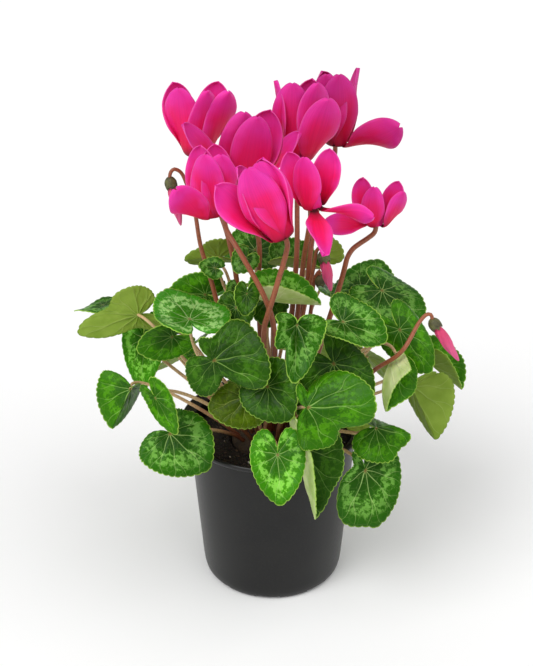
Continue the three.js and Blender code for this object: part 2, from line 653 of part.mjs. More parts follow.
function petalPoint(spec, k, t, across) {
  const line = petalMidline(spec, k);
  const place = clamp(t, 0, 1) * (line.length - 1);
  const i = Math.min(Math.floor(place), line.length - 2);
  const part = place - i;
  const r = THREE.MathUtils.lerp(line[i].r, line[i + 1].r, part);
  const z = THREE.MathUtils.lerp(line[i].z, line[i + 1].z, part);
  const angle = THREE.MathUtils.lerp(line[i].angle, line[i + 1].angle, part);
  const azimuth = rad(STALK_GAP / 2 + ((360 - STALK_GAP) / 4) * k + spec.turn[k]);
  const axes = bloomAxes(spec);
  const out = axes.out.clone().multiplyScalar(Math.cos(azimuth)).addScaledVector(axes.side, Math.sin(azimuth));
  const round = axes.up.clone().cross(out);
  const face = out.clone().multiplyScalar(Math.cos(angle)).addScaledVector(axes.up, -Math.sin(angle));
  const twist = rad(spec.twist[k]) * clamp((t - 0.08) / 0.7, 0, 1);
  const wide = round.clone().multiplyScalar(Math.cos(twist)).addScaledVector(face, Math.sin(twist));
  const up = round.clone().multiplyScalar(-Math.sin(twist)).addScaledVector(face, Math.cos(twist));
  const cup = 0.11 * spec.petal * PETAL_BROAD * clamp(3 * t, 0, 1);
  return spec.at.clone()
    .addScaledVector(out, r)
    .addScaledVector(axes.up, z)
    .addScaledVector(wide, petalHalfWidth(spec, t) * across)
    .addScaledVector(up, -cup * across * across);
}

function petalSolid(spec, k) {
  const rows = PETAL_ROWS.length;
  const points = [];
  PETAL_ROWS.forEach((row, i) => {
    for (const across of [-1, 0, 1]) {
      const t = i === rows - 1 && across !== 0 ? row - 0.06 : row;
      points.push(petalPoint(spec, k, t, across));
    }
  });
  const triangles = [];
  for (let i = 0; i + 1 < rows; i++) {
    for (let j = 0; j < 2; j++) {
      const a = 3 * i + j;
      triangles.push([a, a + 1, a + 4], [a, a + 4, a + 3]);
    }
  }
  const border = [0, 1];
  for (let i = 0; i < rows; i++) border.push(3 * i + 2);
  border.push(3 * rows - 2);
  for (let i = rows - 1; i > 0; i--) border.push(3 * i);
  return sheet(points, triangles, border, PETAL_THICKNESS);
}

// The short corolla tube behind the mouth, closed at its far end.
const BELL = [[0, 6.5], [3.8, -0.6], [5.3, -0.6], [4.2, TUBE_DEPTH], [0, TUBE_DEPTH]];

function placed(manifold, at, up) {
  const turn = new THREE.Quaternion().setFromUnitVectors(vec(0, 0, 1), up);
  const matrix = new THREE.Matrix4().compose(at, turn, vec(1, 1, 1));
  return manifold.transform(matrix.toArray());
}

function bloomSolid(spec) {
  const bell = placed(revolved(BELL, 8), spec.at, bloomAxes(spec).up);
  return fused([bell, ...[0, 1, 2, 3, 4].map((k) => petalSolid(spec, k))]);
}

// Calyx over the end of the corolla tube, joined to the hook of the stalk.
const CALYX = [[0, 8.3], [4, 8.3], [3.2, 10.6], [0, 11.8]];

function bloomStalkSolid(spec, path) {
  const calyx = placed(revolved(CALYX, 8), spec.at, bloomAxes(spec).up);
  return fused([stalk(path, FLOWER_STALK_BASE, FLOWER_STALK_TOP, 5), calyx]);
}

// Buds: rolled petals as a slowly twisting five-sided spindle under a small calyx.

function budPetals(spec) {
  const rings = [[0.02, 2], [0.2, 3.4], [0.5, 3.4], [0.8, 2], [1, 0.6]].map(([t, radius]) => {
    const ring = [];
    for (let k = 0; k < 10; k++) {
      const angle = -(2 * Math.PI * k) / 10 - rad(140) * t;
      const r = radius * (k % 2 ? 0.78 : 1);
      ring.push(vec(r * Math.cos(angle), r * Math.sin(angle), -4.3 - spec.petal * t));
    }
    return ring;
  });
  return placed(loft(rings), spec.at, spec.point.clone().negate());
}

function budCalyx(spec) {
  return placed(revolved([[0, -4], [2.8, -4], [3.6, -1.8], [1.8, 1.4], [0, 1.4]], 8),
    spec.at, spec.point.clone().negate());
}

// Pot, soil and tuber

function potSolid() {
  const floorRadius = WALL_LOW_RADIUS - CORNER_INSET;
  const shell = revolved([
    [0, 0], [floorRadius, 0], [WALL_LOW_RADIUS - 1.2, 3], [WALL_LOW_RADIUS, CORNER_HEIGHT],
    [WALL_TOP_RADIUS, POT_HEIGHT - RIM_DROP - 2], [RIM_RADIUS - 1.6, POT_HEIGHT - RIM_DROP],
    [RIM_RADIUS, POT_HEIGHT - 1.6], [RIM_RADIUS - 1, POT_HEIGHT], [RIM_RADIUS - 2.2, POT_HEIGHT - 1], [WALL_TOP_RADIUS - WALL, POT_HEIGHT - RIM_DROP],
    [WALL_LOW_RADIUS - WALL, CORNER_HEIGHT], [floorRadius - WALL, CHANNEL_HEIGHT + FLOOR],
    [0, CHANNEL_HEIGHT + FLOOR],
  ], POT_SIDES);
  let pot = shell;
  for (let i = 0; i < CHANNELS; i++) {
    const channel = solid(new THREE.BoxGeometry(24, CHANNEL_WIDTH, 2 * CHANNEL_HEIGHT).translate(44, 0, 0));
    pot = pot.subtract(channel.rotate([0, 0, CHANNEL_TURN + (360 * i) / CHANNELS]));
  }
  for (let i = 0; i < DRAIN_HOLES; i++) {
    const hole = new THREE.CylinderGeometry(DRAIN_RADIUS, DRAIN_RADIUS, 30, 8);
    hole.rotateX(Math.PI / 2).translate(DRAIN_RING, 0, 0);
    pot = pot.subtract(solid(hole).rotate([0, 0, CHANNEL_TURN + (360 * (i + 0.5)) / DRAIN_HOLES]));
  }
  return pot;
}

function soilSolid() {
  const low = CHANNEL_HEIGHT + FLOOR + GAP;
  const wallAt = (z) => THREE.MathUtils.mapLinear(z, CORNER_HEIGHT, POT_HEIGHT - RIM_DROP,
    WALL_LOW_RADIUS, WALL_TOP_RADIUS) - WALL - 2 * GAP;
  const bowl = [];
  for (let i = 0; i <= 3; i++) {
    const angle = (Math.PI / 2) * (i / 3);
    bowl.push([
      (TUBER_RADIUS + 2 * GAP) * Math.cos(angle),
      TUBER_CENTRE - (TUBER_HALF_HEIGHT + GAP) * Math.sin(angle),
    ]);
  }
  bowl[3][0] = 0;
  return revolved([
    [0, low], [WALL_LOW_RADIUS - CORNER_INSET - WALL - 1.5, low], [wallAt(CORNER_HEIGHT) - 0.4, CORNER_HEIGHT + 0.5],
    [wallAt(SOIL_TOP - 2), SOIL_TOP - 2], [48, SOIL_TOP], [40, SOIL_TOP + 0.8],
    [TUBER_RADIUS + 3, SOIL_TOP], ...bowl,
  ], SOIL_SIDES);
}

function tuberSolid() {
  const profile = [];
  for (let i = 0; i <= 6; i++) {
    const angle = -Math.PI / 2 + (Math.PI * i) / 6;
    profile.push([TUBER_RADIUS * Math.cos(angle), TUBER_CENTRE + TUBER_HALF_HEIGHT * Math.sin(angle)]);
  }
  profile[0][0] = 0;
  profile[6][0] = 0;
  return revolved(profile, SOIL_SIDES);
}

// Materials

const finish = (color, roughness, metalness = 0) =>
  new THREE.MeshStandardMaterial({ color, roughness, metalness });
const POT_PLASTIC = finish(0x2e2d2d, 0.45);
const SOIL_MIX = finish(0x1d1712, 0.95);
const TUBER_SKIN = finish(0x4a3527, 0.85);
const STALK_SKIN = finish(0x7d4636, 0.5);
const PETAL_PINK = finish(0xd8246e, 0.45);
const BUD_PINK = finish(0xdb5284, 0.5);
const BUD_GREEN = finish(0x7d8f4a, 0.6);
const LEAF_GREENS = [0x2f6a2a, 0x3b7a30, 0x2a5c2b, 0x48863a].map((color) => finish(color, 0.5));

const plant = new THREE.Group();
plant.name = "potted_cyclamen";

function addNode(name, manifold, material) {
  const mesh = new THREE.Mesh(geometryOf(manifold), material);
  mesh.name = name;
  plant.add(mesh);
}

const stems = [...LEAVES.map(leafStem), ...BLOOMS.map(bloomStem), ...BUDS.map(budStem)];
const roots = placeRoots(stems);
stems.forEach((stem) => {
  stem.path = startPath(stem, roots.get(stem.node));
});
routeStalks(stems, [...LEAVES.flatMap(bladeMarks), ...BLOOMS.flatMap(bloomMarks)]);
const routes = new Map(stems.map((stem) => [stem.name, [...stem.path, ...stem.tail]]));

function leafSolid(spec) {
  const path = straightened(routes.get(spec.name), 1.1);
  return fused([bladeSolid(spec), stalk(path, LEAF_STALK_BASE, LEAF_STALK_TOP, 4)]);
}

addNode("pot", potSolid(), POT_PLASTIC);
addNode("soil", soilSolid(), SOIL_MIX);
addNode("tuber", tuberSolid(), TUBER_SKIN);
for (const spec of BLOOMS) {
  addNode("bloom_" + spec.name, bloomSolid(spec), PETAL_PINK);
  const path = straightened(routes.get("stalk_" + spec.name), 0.6);
  addNode("stalk_" + spec.name, bloomStalkSolid(spec, path), STALK_SKIN);
}
for (const spec of BUDS) {
  const path = straightened(routes.get("stalk_bud_" + spec.name), 0.6);
  const stem = fused([stalk(path, FLOWER_STALK_BASE, 1.1, 5), budCalyx(spec)]);
  if (spec.petal > 10) {
    addNode("bud_" + spec.name, budPetals(spec), BUD_PINK);
    addNode("stalk_bud_" + spec.name, stem, STALK_SKIN);
  } else {
    addNode("bud_" + spec.name, stem, BUD_GREEN);
  }
}
const leafNodes = new Map();
for (const spec of LEAVES) {
  const name = spec.node ?? spec.name;
  leafNodes.set(name, [...(leafNodes.get(name) ?? []), leafSolid(spec)]);
}
[...leafNodes].forEach(([name, solids], i) => {
  addNode(name, fused(solids), LEAF_GREENS[i % LEAF_GREENS.length]);
});

export default plant;
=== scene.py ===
"""The looks of a potted cyclamen: leaves, stalks, blooms, buds, tuber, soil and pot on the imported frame.

The plant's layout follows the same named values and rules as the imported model, in millimetres, and every
mesh is turned to metres when it is made. The pot stands on Z = 0 and the plant's front faces -Y.
"""

import logging
import math
from collections.abc import Callable, Sequence
from dataclasses import dataclass, field
from enum import Enum

import bpy
import numpy as np
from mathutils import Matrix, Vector, noise

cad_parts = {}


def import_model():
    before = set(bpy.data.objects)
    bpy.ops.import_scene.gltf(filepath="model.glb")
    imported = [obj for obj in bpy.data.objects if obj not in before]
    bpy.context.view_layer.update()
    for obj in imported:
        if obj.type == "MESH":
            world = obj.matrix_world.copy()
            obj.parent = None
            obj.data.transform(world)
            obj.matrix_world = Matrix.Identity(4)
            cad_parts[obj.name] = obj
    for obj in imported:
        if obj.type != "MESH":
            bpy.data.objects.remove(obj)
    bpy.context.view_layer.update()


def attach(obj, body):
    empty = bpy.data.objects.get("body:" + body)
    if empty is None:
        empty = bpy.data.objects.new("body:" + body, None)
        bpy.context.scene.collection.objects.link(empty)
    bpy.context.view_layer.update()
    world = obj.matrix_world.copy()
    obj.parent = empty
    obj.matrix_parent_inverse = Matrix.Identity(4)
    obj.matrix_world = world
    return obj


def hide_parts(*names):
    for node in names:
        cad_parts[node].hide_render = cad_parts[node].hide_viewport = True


LOG = logging.getLogger("cyclamen")
METRE = 0.001
FULL_TURN = 2 * math.pi
ROOT = "root"
Point = tuple[float, float, float]
Array = np.ndarray
Profile = Sequence[tuple[float, float]]


# Numbers and points


def clamped(value: Array | float, low: float = 0.0, high: float = 1.0) -> Array:
    """Returns the value kept between two limits."""
    return np.minimum(np.maximum(value, low), high)


def smooth(value: Array | float, low: float, high: float) -> Array:
    """Returns 0 below low, 1 above high and a smooth rise between them."""
    t = clamped((np.asarray(value, float) - low) / (high - low))
    return t * t * (3 - 2 * t)


def unit(vector: Array) -> Array:
    """Returns the vector at length 1."""
    return vector / max(float(np.linalg.norm(vector)), 1e-12)


def vec(*numbers: float) -> Array:
    """Returns the numbers as one vector."""
    return np.array(numbers, float)


def run_along(path: Array) -> Array:
    """Returns how far along a path each of its points is."""
    return np.concatenate([[0], np.cumsum(np.linalg.norm(np.diff(path, axis=0), axis=1))])


# Colours and shader nodes


def linear(code: str) -> tuple[float, float, float, float]:
    """Turns an sRGB hex colour to linear light.

    Args:
        code: six hex digits, red first.

    Returns:
        The colour with an alpha of 1.
    """
    parts = [int(code[i : i + 2], 16) / 255 for i in (0, 2, 4)]
    red, green, blue = (c / 12.92 if c <= 0.04045 else ((c + 0.055) / 1.055) ** 2.4 for c in parts)
    return red, green, blue, 1.0


def feed(tree: bpy.types.NodeTree, into: bpy.types.NodeSocket, value: object) -> None:
    """Gives an input a value, a socket's result or the first shown result of a node."""
    if isinstance(value, bpy.types.Node):
        value = next(o for o in value.outputs if o.enabled)
    if isinstance(value, bpy.types.NodeSocket):
        tree.links.new(value, into)
    else:
        into.default_value = value


def put(tree: bpy.types.NodeTree, kind: str, links: dict | None = None, **settings: object) -> bpy.types.Node:
    """Adds a node with its settings and its links.

    Args:
        tree: the node tree.
        kind: the node's type name.
        links: what goes to each input, by name or place.
        settings: the node's own settings by name.

    Returns:
        The new node.
    """
    made = tree.nodes.new(kind)
    for name, value in settings.items():
        setattr(made, name, value)
    for key, value in (links or {}).items():
        feed(tree, made.inputs[key], value)
    return made


MATH = "ShaderNodeMath"
RANGE = "ShaderNodeMapRange"
MIX = "ShaderNodeMix"
NOISE = "ShaderNodeTexNoise"
RANDOM = "FunctionNodeRandomValue"
MIX_BY, MIX_A, MIX_B = 0, 6, 7


def new_material(name: str) -> tuple[bpy.types.Material, bpy.types.NodeTree, bpy.types.Node]:
    """Starts a material with an empty tree.

    Args:
        name: what the real material is.

    Returns:
        The material, its tree and its surface shader.
    """
    material = bpy.data.materials.new(name)
    material.use_nodes = True
    tree = material.node_tree
    tree.nodes.clear()
    shader = put(tree, "ShaderNodeBsdfPrincipled")
    put(tree, "ShaderNodeOutputMaterial", {"Surface": shader})
    return material, tree, shader


@dataclass(frozen=True)
class Glow:
    """Light that goes into a skin: its share, how far each colour goes, and that reach in millimetres."""

    weight: float
    spread: Point
    reach: float


def surface(
    tree: bpy.types.NodeTree, shader: bpy.types.Node, colour: bpy.types.Node, rough: object, height: object,
    depth: float, strength: float, specular: float = 0.5, glow: Glow | None = None,
) -> None:
    """Gives the surface shader a colour, a roughness, a relief, its gloss and its glow.

    Args:
        tree: the material's tree.
        shader: its surface shader.
        colour: the node that gives the colour.
        rough: the node or number that gives the roughness.
        height: the node that gives the relief.
        depth: how deep the relief is, in millimetres.
        strength: how much of it shows.
        specular: how strongly the skin mirrors.
        glow: the light that goes into the skin, if any.
    """
    bump = put(tree, "ShaderNodeBump", {"Strength": strength, "Distance": depth * METRE, "Height": height})
    inputs = {"Base Color": colour, "Roughness": rough, "Normal": bump, "Specular IOR Level": specular}
    if glow:
        inputs |= {"Subsurface Weight": glow.weight, "Subsurface Radius": glow.spread,
                   "Subsurface Scale": glow.reach * METRE}
    for name, value in inputs.items():
        feed(tree, shader.inputs[name], value)


def pattern_places(tree: bpy.types.NodeTree, *marks: str) -> list[bpy.types.NodeSocket]:
    """Reads where on its piece a pattern is.

    Args:
        tree: the material's tree.
        marks: names of the piece's own numbers.

    Returns:
        The sockets of the UV place's two parts, of the place in space and of each mark.
    """
    place = put(tree, "ShaderNodeSeparateXYZ", {0: put(tree, "ShaderNodeUVMap", uv_map="place")})
    at = put(tree, "ShaderNodeTexCoord").outputs["Object"]
    numbers = [put(tree, "ShaderNodeAttribute", attribute_name=mark).outputs["Fac"] for mark in marks]
    return [place.outputs["X"], place.outputs["Y"], at, *numbers]


def per_mm(size: float) -> float:
    """Returns the scale of a noise whose patches have a size in millimetres."""
    return 1 / (size * METRE)


# Meshes


@dataclass
class Skin:
    """One closed surface in millimetres: its points, and its faces with their corners' places and finish."""

    points: Array
    faces: list[tuple[int, ...]] = field(default_factory=list)
    places: list[tuple[tuple[float, float], ...]] = field(default_factory=list)
    finishes: list[int] = field(default_factory=list)

    def face(self, corners: Sequence[int], places: Sequence[tuple[float, float]], finish: int) -> None:
        """Adds one face with the UV place of each corner and its material slot."""
        self.faces.append(tuple(corners))
        self.places.append(tuple(places))
        self.finishes.append(finish)


def joined(skins: Sequence[Skin]) -> Skin:
    """Puts several surfaces into one, and returns it."""
    whole = Skin(np.concatenate([s.points for s in skins]))
    start = 0
    for skin in skins:
        whole.faces += [tuple(i + start for i in face) for face in skin.faces]
        whole.places += skin.places
        whole.finishes += skin.finishes
        start += len(skin.points)
    return whole


def mesh_object(
    name: str, skin: Skin, materials: Sequence[bpy.types.Material], **marks: float
) -> bpy.types.Object:
    """Makes an object of a surface.

    Args:
        name: the object's name.
        skin: the surface in millimetres.
        materials: its material slots.
        marks: numbers that a material reads, each kept as the attribute of its name.

    Returns:
        The object, linked to the scene.
    """
    mesh = bpy.data.meshes.new(name)
    mesh.from_pydata((skin.points * METRE).tolist(), [], skin.faces)
    layer = mesh.uv_layers.new(name="place")
    layer.data.foreach_set("uv", np.array([xy for face in skin.places for xy in face], np.float32).ravel())
    mesh.polygons.foreach_set("material_index", np.array(skin.finishes, np.int32))
    mesh.polygons.foreach_set("use_smooth", np.ones(len(skin.faces), bool))
    for mark, number in marks.items():
        values = np.full(len(skin.points), number, np.float32)
        mesh.attributes.new(mark, "FLOAT", "POINT").data.foreach_set("value", values)
    for material in materials:
        mesh.materials.append(material)
    mesh.validate()
    made = bpy.data.objects.new(name, mesh)
    bpy.context.scene.collection.objects.link(made)
    return made


def plain_mesh(made: bpy.types.Object) -> bpy.types.Object:
    """Turns an object's evaluated modifiers into its plain mesh, and returns the object."""
    graph = bpy.context.evaluated_depsgraph_get()
    mesh = bpy.data.meshes.new_from_object(made.evaluated_get(graph))
    mesh.name = made.name
    made.modifiers.clear()
    made.data = mesh
    return made


class Grower:
    """A Geometry Nodes tree with a material and named numbers as its inputs."""

    def __init__(
        self, name: str, shape: Callable[[bpy.types.NodeTree, bpy.types.NodeOutputs], bpy.types.Node],
        **kinds: str,
    ) -> None:
        """Builds the tree.

        Args:
            name: its name.
            shape: adds the nodes that a piece needs, given the tree and its inputs, and returns the last one.
            kinds: the kind of each named number.
        """
        self.tree = bpy.data.node_groups.new(name, "GeometryNodeTree")
        add = self.tree.interface.new_socket
        add("Geometry", in_out="INPUT", socket_type="NodeSocketGeometry")
        self.sockets = {
            name: add(name, in_out="INPUT", socket_type="NodeSocket" + kind).identifier
            for name, kind in {**kinds, "skin": "Material"}.items()
        }
        add("Geometry", in_out="OUTPUT", socket_type="NodeSocketGeometry")
        given = put(self.tree, "NodeGroupInput").outputs
        whole = put(self.tree, "GeometryNodeRealizeInstances", {"Geometry": shape(self.tree, given)})
        whole = put(self.tree, "GeometryNodeSetMaterial", {"Geometry": whole, "Material": given["skin"]})
        put(self.tree, "NodeGroupOutput", {"Geometry": whole})

    def grow(self, made: bpy.types.Object, **values: object) -> bpy.types.Object:
        """Runs the tree on an object with the values of its inputs, and returns it as a plain mesh."""
        modifier = made.modifiers.new("grown", "NODES")
        modifier.node_group = self.tree
        for name, value in values.items():
            modifier[self.sockets[name]] = value
        return plain_mesh(made)


def joined_objects(name: str, pieces: Sequence[bpy.types.Object]) -> bpy.types.Object:
    """Joins objects into the first of them.

    Args:
        name: the name of the result.
        pieces: the objects.

    Returns:
        The one object that is left.
    """
    if len(pieces) > 1:
        with bpy.context.temp_override(active_object=pieces[0], selected_editable_objects=list(pieces)):
            bpy.ops.object.join()
    pieces[0].name = name
    pieces[0].data.name = name
    return pieces[0]


def thickened(
    points: Array, faces: Sequence[tuple[int, ...]], places: Sequence[tuple[tuple[float, float], ...]],
    border: Sequence[int], border_places: Sequence[tuple[float, float]], thickness: float,
) -> Skin:
    """Gives a sheet of faces a second side and an edge.

    Args:
        points: the sheet's points.
        faces: its faces, seen from its upper side.
        places: each face's UV places.
        border: the points round its edge, in the faces' sense.
        border_places: their UV places, one more than the points.
        thickness: how thick the sheet is.

    Returns:
        The closed surface, with finish 0 above and on the edge and 1 below.
    """
    normals = np.zeros_like(points)
    for face in faces:
        a, b, c, d = (points[face[i]] for i in (0, 1, 2, len(face) - 1))
        normals[list(face)] += np.cross(c - a, d - b if len(face) == 4 else c - b)
    normals /= np.maximum(np.linalg.norm(normals, axis=1), 1e-9)[:, None]
    skin = Skin(np.concatenate([points + normals * thickness / 2, points - normals * thickness / 2]))
    count = len(points)
    for face, place in zip(faces, places):
        skin.face(face, place, 0)
        skin.face([i + count for i in reversed(face)], list(reversed(place)), 1)
    for i, a in enumerate(border):
        b = border[(i + 1) % len(border)]
        here, there = border_places[i], border_places[i + 1]
        skin.face((b, a, a + count, b + count), (there, here, here, there), 0)
    return skin


def lathe(profile: Sequence[tuple[float, float]], sides: int, finishes: Sequence[int] | None = None,
          warp: Callable[[Array, float], Array] | None = None) -> Skin:
    """Turns a profile that runs from the axis back to the axis into a closed surface.

    Args:
        profile: radius and height, with the solid on its left; the first and last radius are 0.
        sides: how many sides it has.
        finishes: the finish of each run of the profile.
        warp: moves the points, given them and their share of the profile.

    Returns:
        The surface, with places of turn and share along the profile.
    """
    angles = 2 * math.pi * np.arange(sides) / sides
    last = len(profile) - 1
    rings = [vec(0, 0, profile[0][1])[None]]
    for r, z in profile[1:-1]:
        rings.append(np.stack([r * np.cos(angles), r * np.sin(angles), np.full(sides, z)], 1))
    rings.append(vec(0, 0, profile[last][1])[None])
    if warp:
        rings = [warp(ring, i / last) for i, ring in enumerate(rings)]
    skin = Skin(np.concatenate(rings))
    end = len(skin.points) - 1
    for i in range(last):
        finish = finishes[i] if finishes else 0
        for j in range(sides):
            k = (j + 1) % sides
            u, w, s, t = j / sides, (j + 1) / sides, i / last, (i + 1) / last
            a, b = 1 + (i - 1) * sides + j, 1 + (i - 1) * sides + k
            if i == 0:
                skin.face((0, 1 + k, 1 + j), ((u, s), (w, t), (u, t)), finish)
            elif i == last - 1:
                skin.face((a, b, end), ((u, s), (w, s), (u, t)), finish)
            else:
                skin.face((a, b, b + sides, a + sides), ((u, s), (w, s), (w, t), (u, t)), finish)
    return skin


def moved(skin: Skin, at: Array, up: Array) -> Skin:
    """Stands a surface made round the Z axis on a point along another axis, and returns it."""
    turn = np.array(Vector((0, 0, 1)).rotation_difference(Vector(up)).to_matrix())
    skin.points = skin.points @ turn.T + at
    return skin


# Leaf blades

HEART_ANGLES = np.radians([-12, 0, 12, 30, 55, 85, 115, 138, 155, 168, 180, 192])
HEART_REACHES = vec(0.93, 1, 0.93, 0.84, 0.77, 0.74, 0.72, 0.66, 0.54, 0.3, 0.06, 0.3)
SIDE_REACH = 0.75
VEIN_SPACING = 34.0
VEIN_WIDTH = 0.9
VEIN_FADE = 0.55
FORK_START = 0.5
FORK_SPREAD = 0.52
WAVER, WAVER_OUT, WAVER_ROUND = 0.07, 10.0, 23.0


class LeafTone(Enum):
    """How a leaf is coloured."""

    LIME = "bright leaf with a lime wreath"
    SILVER = "cool green leaf with a silver wreath"
    DEEP = "dark leaf with pale veins"
    FRESH = "even green leaf with a faint wreath"
    OLIVE = "shaded leaf with a brownish cast"
    PALE = "bright leaf with a broad whitish wreath"


@dataclass(frozen=True)
class Leaf:
    """One leaf: joint, [heading, pitch, roll] of the blade, length from joint to tip, and its shape."""

    name: str
    at: Point
    turn: Point
    size: float
    width: float = 1.0
    side: float = 0.0
    fold: float = 0.0
    droop: float = 0.0
    wave: float = 1.5
    waves: float = 3.0
    phase: float = 0.0
    lobes: float = 0.0
    back: float = 1.0
    notches: Sequence[tuple[float, float, float]] = ()
    node: str = ""
    tone: LeafTone = LeafTone.FRESH

    @property
    def seed(self) -> float:
        """Returns a number that sets this leaf's pattern apart."""
        return 1.7 * self.size + 0.31 * self.at[0]

    def axes(self) -> tuple[Array, Array, Array]:
        """Returns the directions of the tip, of the left side and of the upper face."""
        h, p, r = (math.radians(a) for a in self.turn)
        tip = vec(math.cos(h) * math.cos(p), math.sin(h) * math.cos(p), math.sin(p))
        level = vec(-math.sin(h), math.cos(h), 0)
        left = level * math.cos(r) + np.cross(tip, level) * math.sin(r)
        return tip, left, np.cross(tip, left)

    def points(self, phi: Array, share: Array, more: Array | float = 0.0, lift: Array | float = 0.0) -> Array:
        """Finds points of the blade.

        Args:
            phi: angles from the tip, in radians.
            share: how far out from the joint to the edge.
            more: millimetres added to the reach of the edge.
            lift: millimetres off the blade's face.

        Returns:
            The points, in millimetres.
        """
        reach = heart_reach(phi) * self.size
        for angle, depth, breadth in self.notches:
            off = (np.degrees(phi) - angle + 180) % 360 - 180
            reach = reach * (1 - depth * np.exp(-((off / breadth) ** 2)))
        reach = reach + more
        flat = reach * share * np.cos(phi)
        along = np.where(flat < 0, flat * self.back, flat)
        across = reach * share * np.sin(phi) * self.width
        out, up = bent(np.abs(across), math.radians(self.side) / (SIDE_REACH * self.size * self.width))
        fold = math.radians(self.fold)
        backness = clamped((np.abs(phi) - math.radians(100)) / math.radians(70))
        sideways = np.sign(across) * (out * math.cos(fold) - up * math.sin(fold))
        raised = (
            out * math.sin(fold) + up * math.cos(fold)
            + self.wave * share**3 * np.sin(self.waves * phi + math.radians(self.phase))
            + self.lobes * backness**2 * (3 - 2 * backness) * share + lift
        )
        droop = -math.radians(self.droop) / self.size
        forward, drop = bent(along, droop)
        x = forward - raised * np.sin(droop * along)
        z = drop + raised * np.cos(droop * along)
        tip, left, face = self.axes()
        return vec(*self.at) + x[:, None] * tip + sideways[:, None] * left + z[:, None] * face


def heart_reach(phi: Array) -> Array:
    """Returns the heart outline's reach at angles from the tip, as a share of the leaf's length."""
    turned = np.abs((phi + math.pi) % (2 * math.pi) - math.pi)
    i = np.clip(np.searchsorted(HEART_ANGLES, turned, side="right") - 1, 1, 9)
    step = HEART_ANGLES[i + 1] - HEART_ANGLES[i]
    t = (turned - HEART_ANGLES[i]) / step

    def slope(k: Array) -> Array:
        """Returns the outline's slope at one of its named angles."""
        rise = HEART_REACHES[k + 1] - HEART_REACHES[k - 1]
        return rise / (HEART_ANGLES[k + 1] - HEART_ANGLES[k - 1]) * step

    start = np.where(i == 1, HEART_REACHES[2] - HEART_REACHES[1], slope(i))
    t2, t3 = t * t, t * t * t
    return (
        (2 * t3 - 3 * t2 + 1) * HEART_REACHES[i] + (t3 - 2 * t2 + t) * start
        + (3 * t2 - 2 * t3) * HEART_REACHES[i + 1] + (t3 - t2) * slope(i + 1)
    )


def bent(distance: Array, curvature: float) -> tuple[Array, Array]:
    """Returns how far a distance runs along and off when it bends at a curvature."""
    if abs(curvature) < 1e-7:
        return distance, np.zeros_like(distance)
    return np.sin(curvature * distance) / curvature, (1 - np.cos(curvature * distance)) / curvature


def vein_cell(turn: Array, share: Array, seed: float) -> Array:
    """Returns how many vein spacings a place is from the vein that runs to the tip.

    Args:
        turn: share of a turn round the joint, 0.5 at the tip.
        share: how far out from the joint to the edge.
        seed: the leaf's number, which sets where its veins waver.
    """
    waver = np.sin(WAVER_OUT * share + WAVER_ROUND * turn + seed)
    return (turn - 0.5) * 360 / VEIN_SPACING + WAVER * waver


def vein_depth(phi: Array, share: Array, leaf: Leaf) -> Array:
    """Returns how deep a blade's upper face is sunk along its forking veins, from 0 to 1."""
    cell = vein_cell(phi / (2 * math.pi) + 0.5, share, leaf.seed)
    off = np.abs(cell - np.round(cell))
    fork = np.maximum(share - FORK_START, 0) * FORK_SPREAD
    gap = np.abs(off - fork) * math.radians(VEIN_SPACING) * share * leaf.size * SIDE_REACH
    return np.exp(-((gap / VEIN_WIDTH) ** 2)) * (1 - VEIN_FADE * share)


@dataclass
class Blades:
    """The leaf blades: their thickness, teeth and relief, and the finish of both faces."""

    tooth: float = 0.75
    tooth_step: float = 3.4
    tooth_root: float = 0.86
    tooth_roundness: float = 0.8
    thickness: float = 0.5
    vein: float = 0.55
    pucker: float = 0.45
    pucker_size: float = 7.0
    steps_per_tooth: int = 5
    least_teeth: int = 18
    mean_reach: float = 0.72
    ring_step: float = 3.2
    least_rings: int = 7
    ring_crowding: float = 0.9

    def skin(self, leaf: Leaf) -> Skin:
        """Builds one blade.

        Args:
            leaf: the leaf.

        Returns:
            Its closed surface; a place is the share of a turn round the joint and the share out to the edge.
        """
        girth = math.pi * self.mean_reach * leaf.size * (1 + leaf.width) / 2
        teeth = max(self.least_teeth, 2 * round(girth / self.tooth_step))
        count = teeth * self.steps_per_tooth
        rings = max(self.least_rings, round(leaf.size / self.ring_step))
        steps = np.arange(count)
        phi = -math.pi + 2 * math.pi * steps / count
        notch = 1 - np.abs(np.sin(math.pi * steps / self.steps_per_tooth)) ** self.tooth_roundness
        notch *= smooth(math.pi - np.abs(phi), 0.05, 0.25)
        shares = (np.arange(1, rings + 1) / rings) ** self.ring_crowding
        all_phi = np.tile(phi, rings)
        all_share = np.repeat(shares, count)
        toothed = -self.tooth * np.tile(notch, rings) * smooth(all_share, self.tooth_root, 1)
        lift = -self.vein * vein_depth(all_phi, all_share, leaf)
        flat = np.stack([all_share * np.cos(all_phi), all_share * np.sin(all_phi)], 1) * leaf.size
        spots = np.pad(flat / self.pucker_size, ((0, 0), (0, 1))) + vec(*leaf.at)
        bumps = [noise.noise(Vector(spot)) for spot in spots]
        lift += self.pucker * np.array(bumps) * smooth(all_share, 0, 0.3)
        points = np.concatenate([leaf.points(vec(0), vec(0)), leaf.points(all_phi, all_share, toothed, lift)])
        faces, places = [], []
        for j in range(count):
            k = (j + 1) % count
            u, w = j / count, (j + 1) / count
            faces.append((0, 1 + j, 1 + k))
            places.append((((u + w) / 2, 0), (u, shares[0]), (w, shares[0])))
            for i in range(rings - 1):
                a, b = 1 + i * count + j, 1 + i * count + k
                faces.append((a, a + count, b + count, b))
                places.append(((u, shares[i]), (u, shares[i + 1]), (w, shares[i + 1]), (w, shares[i])))
        border = [1 + (rings - 1) * count + j for j in range(count)]
        rim = [(j / count, 1) for j in range(count + 1)]
        return thickened(points, faces, places, border, rim, self.thickness)


# Where stalks root and run


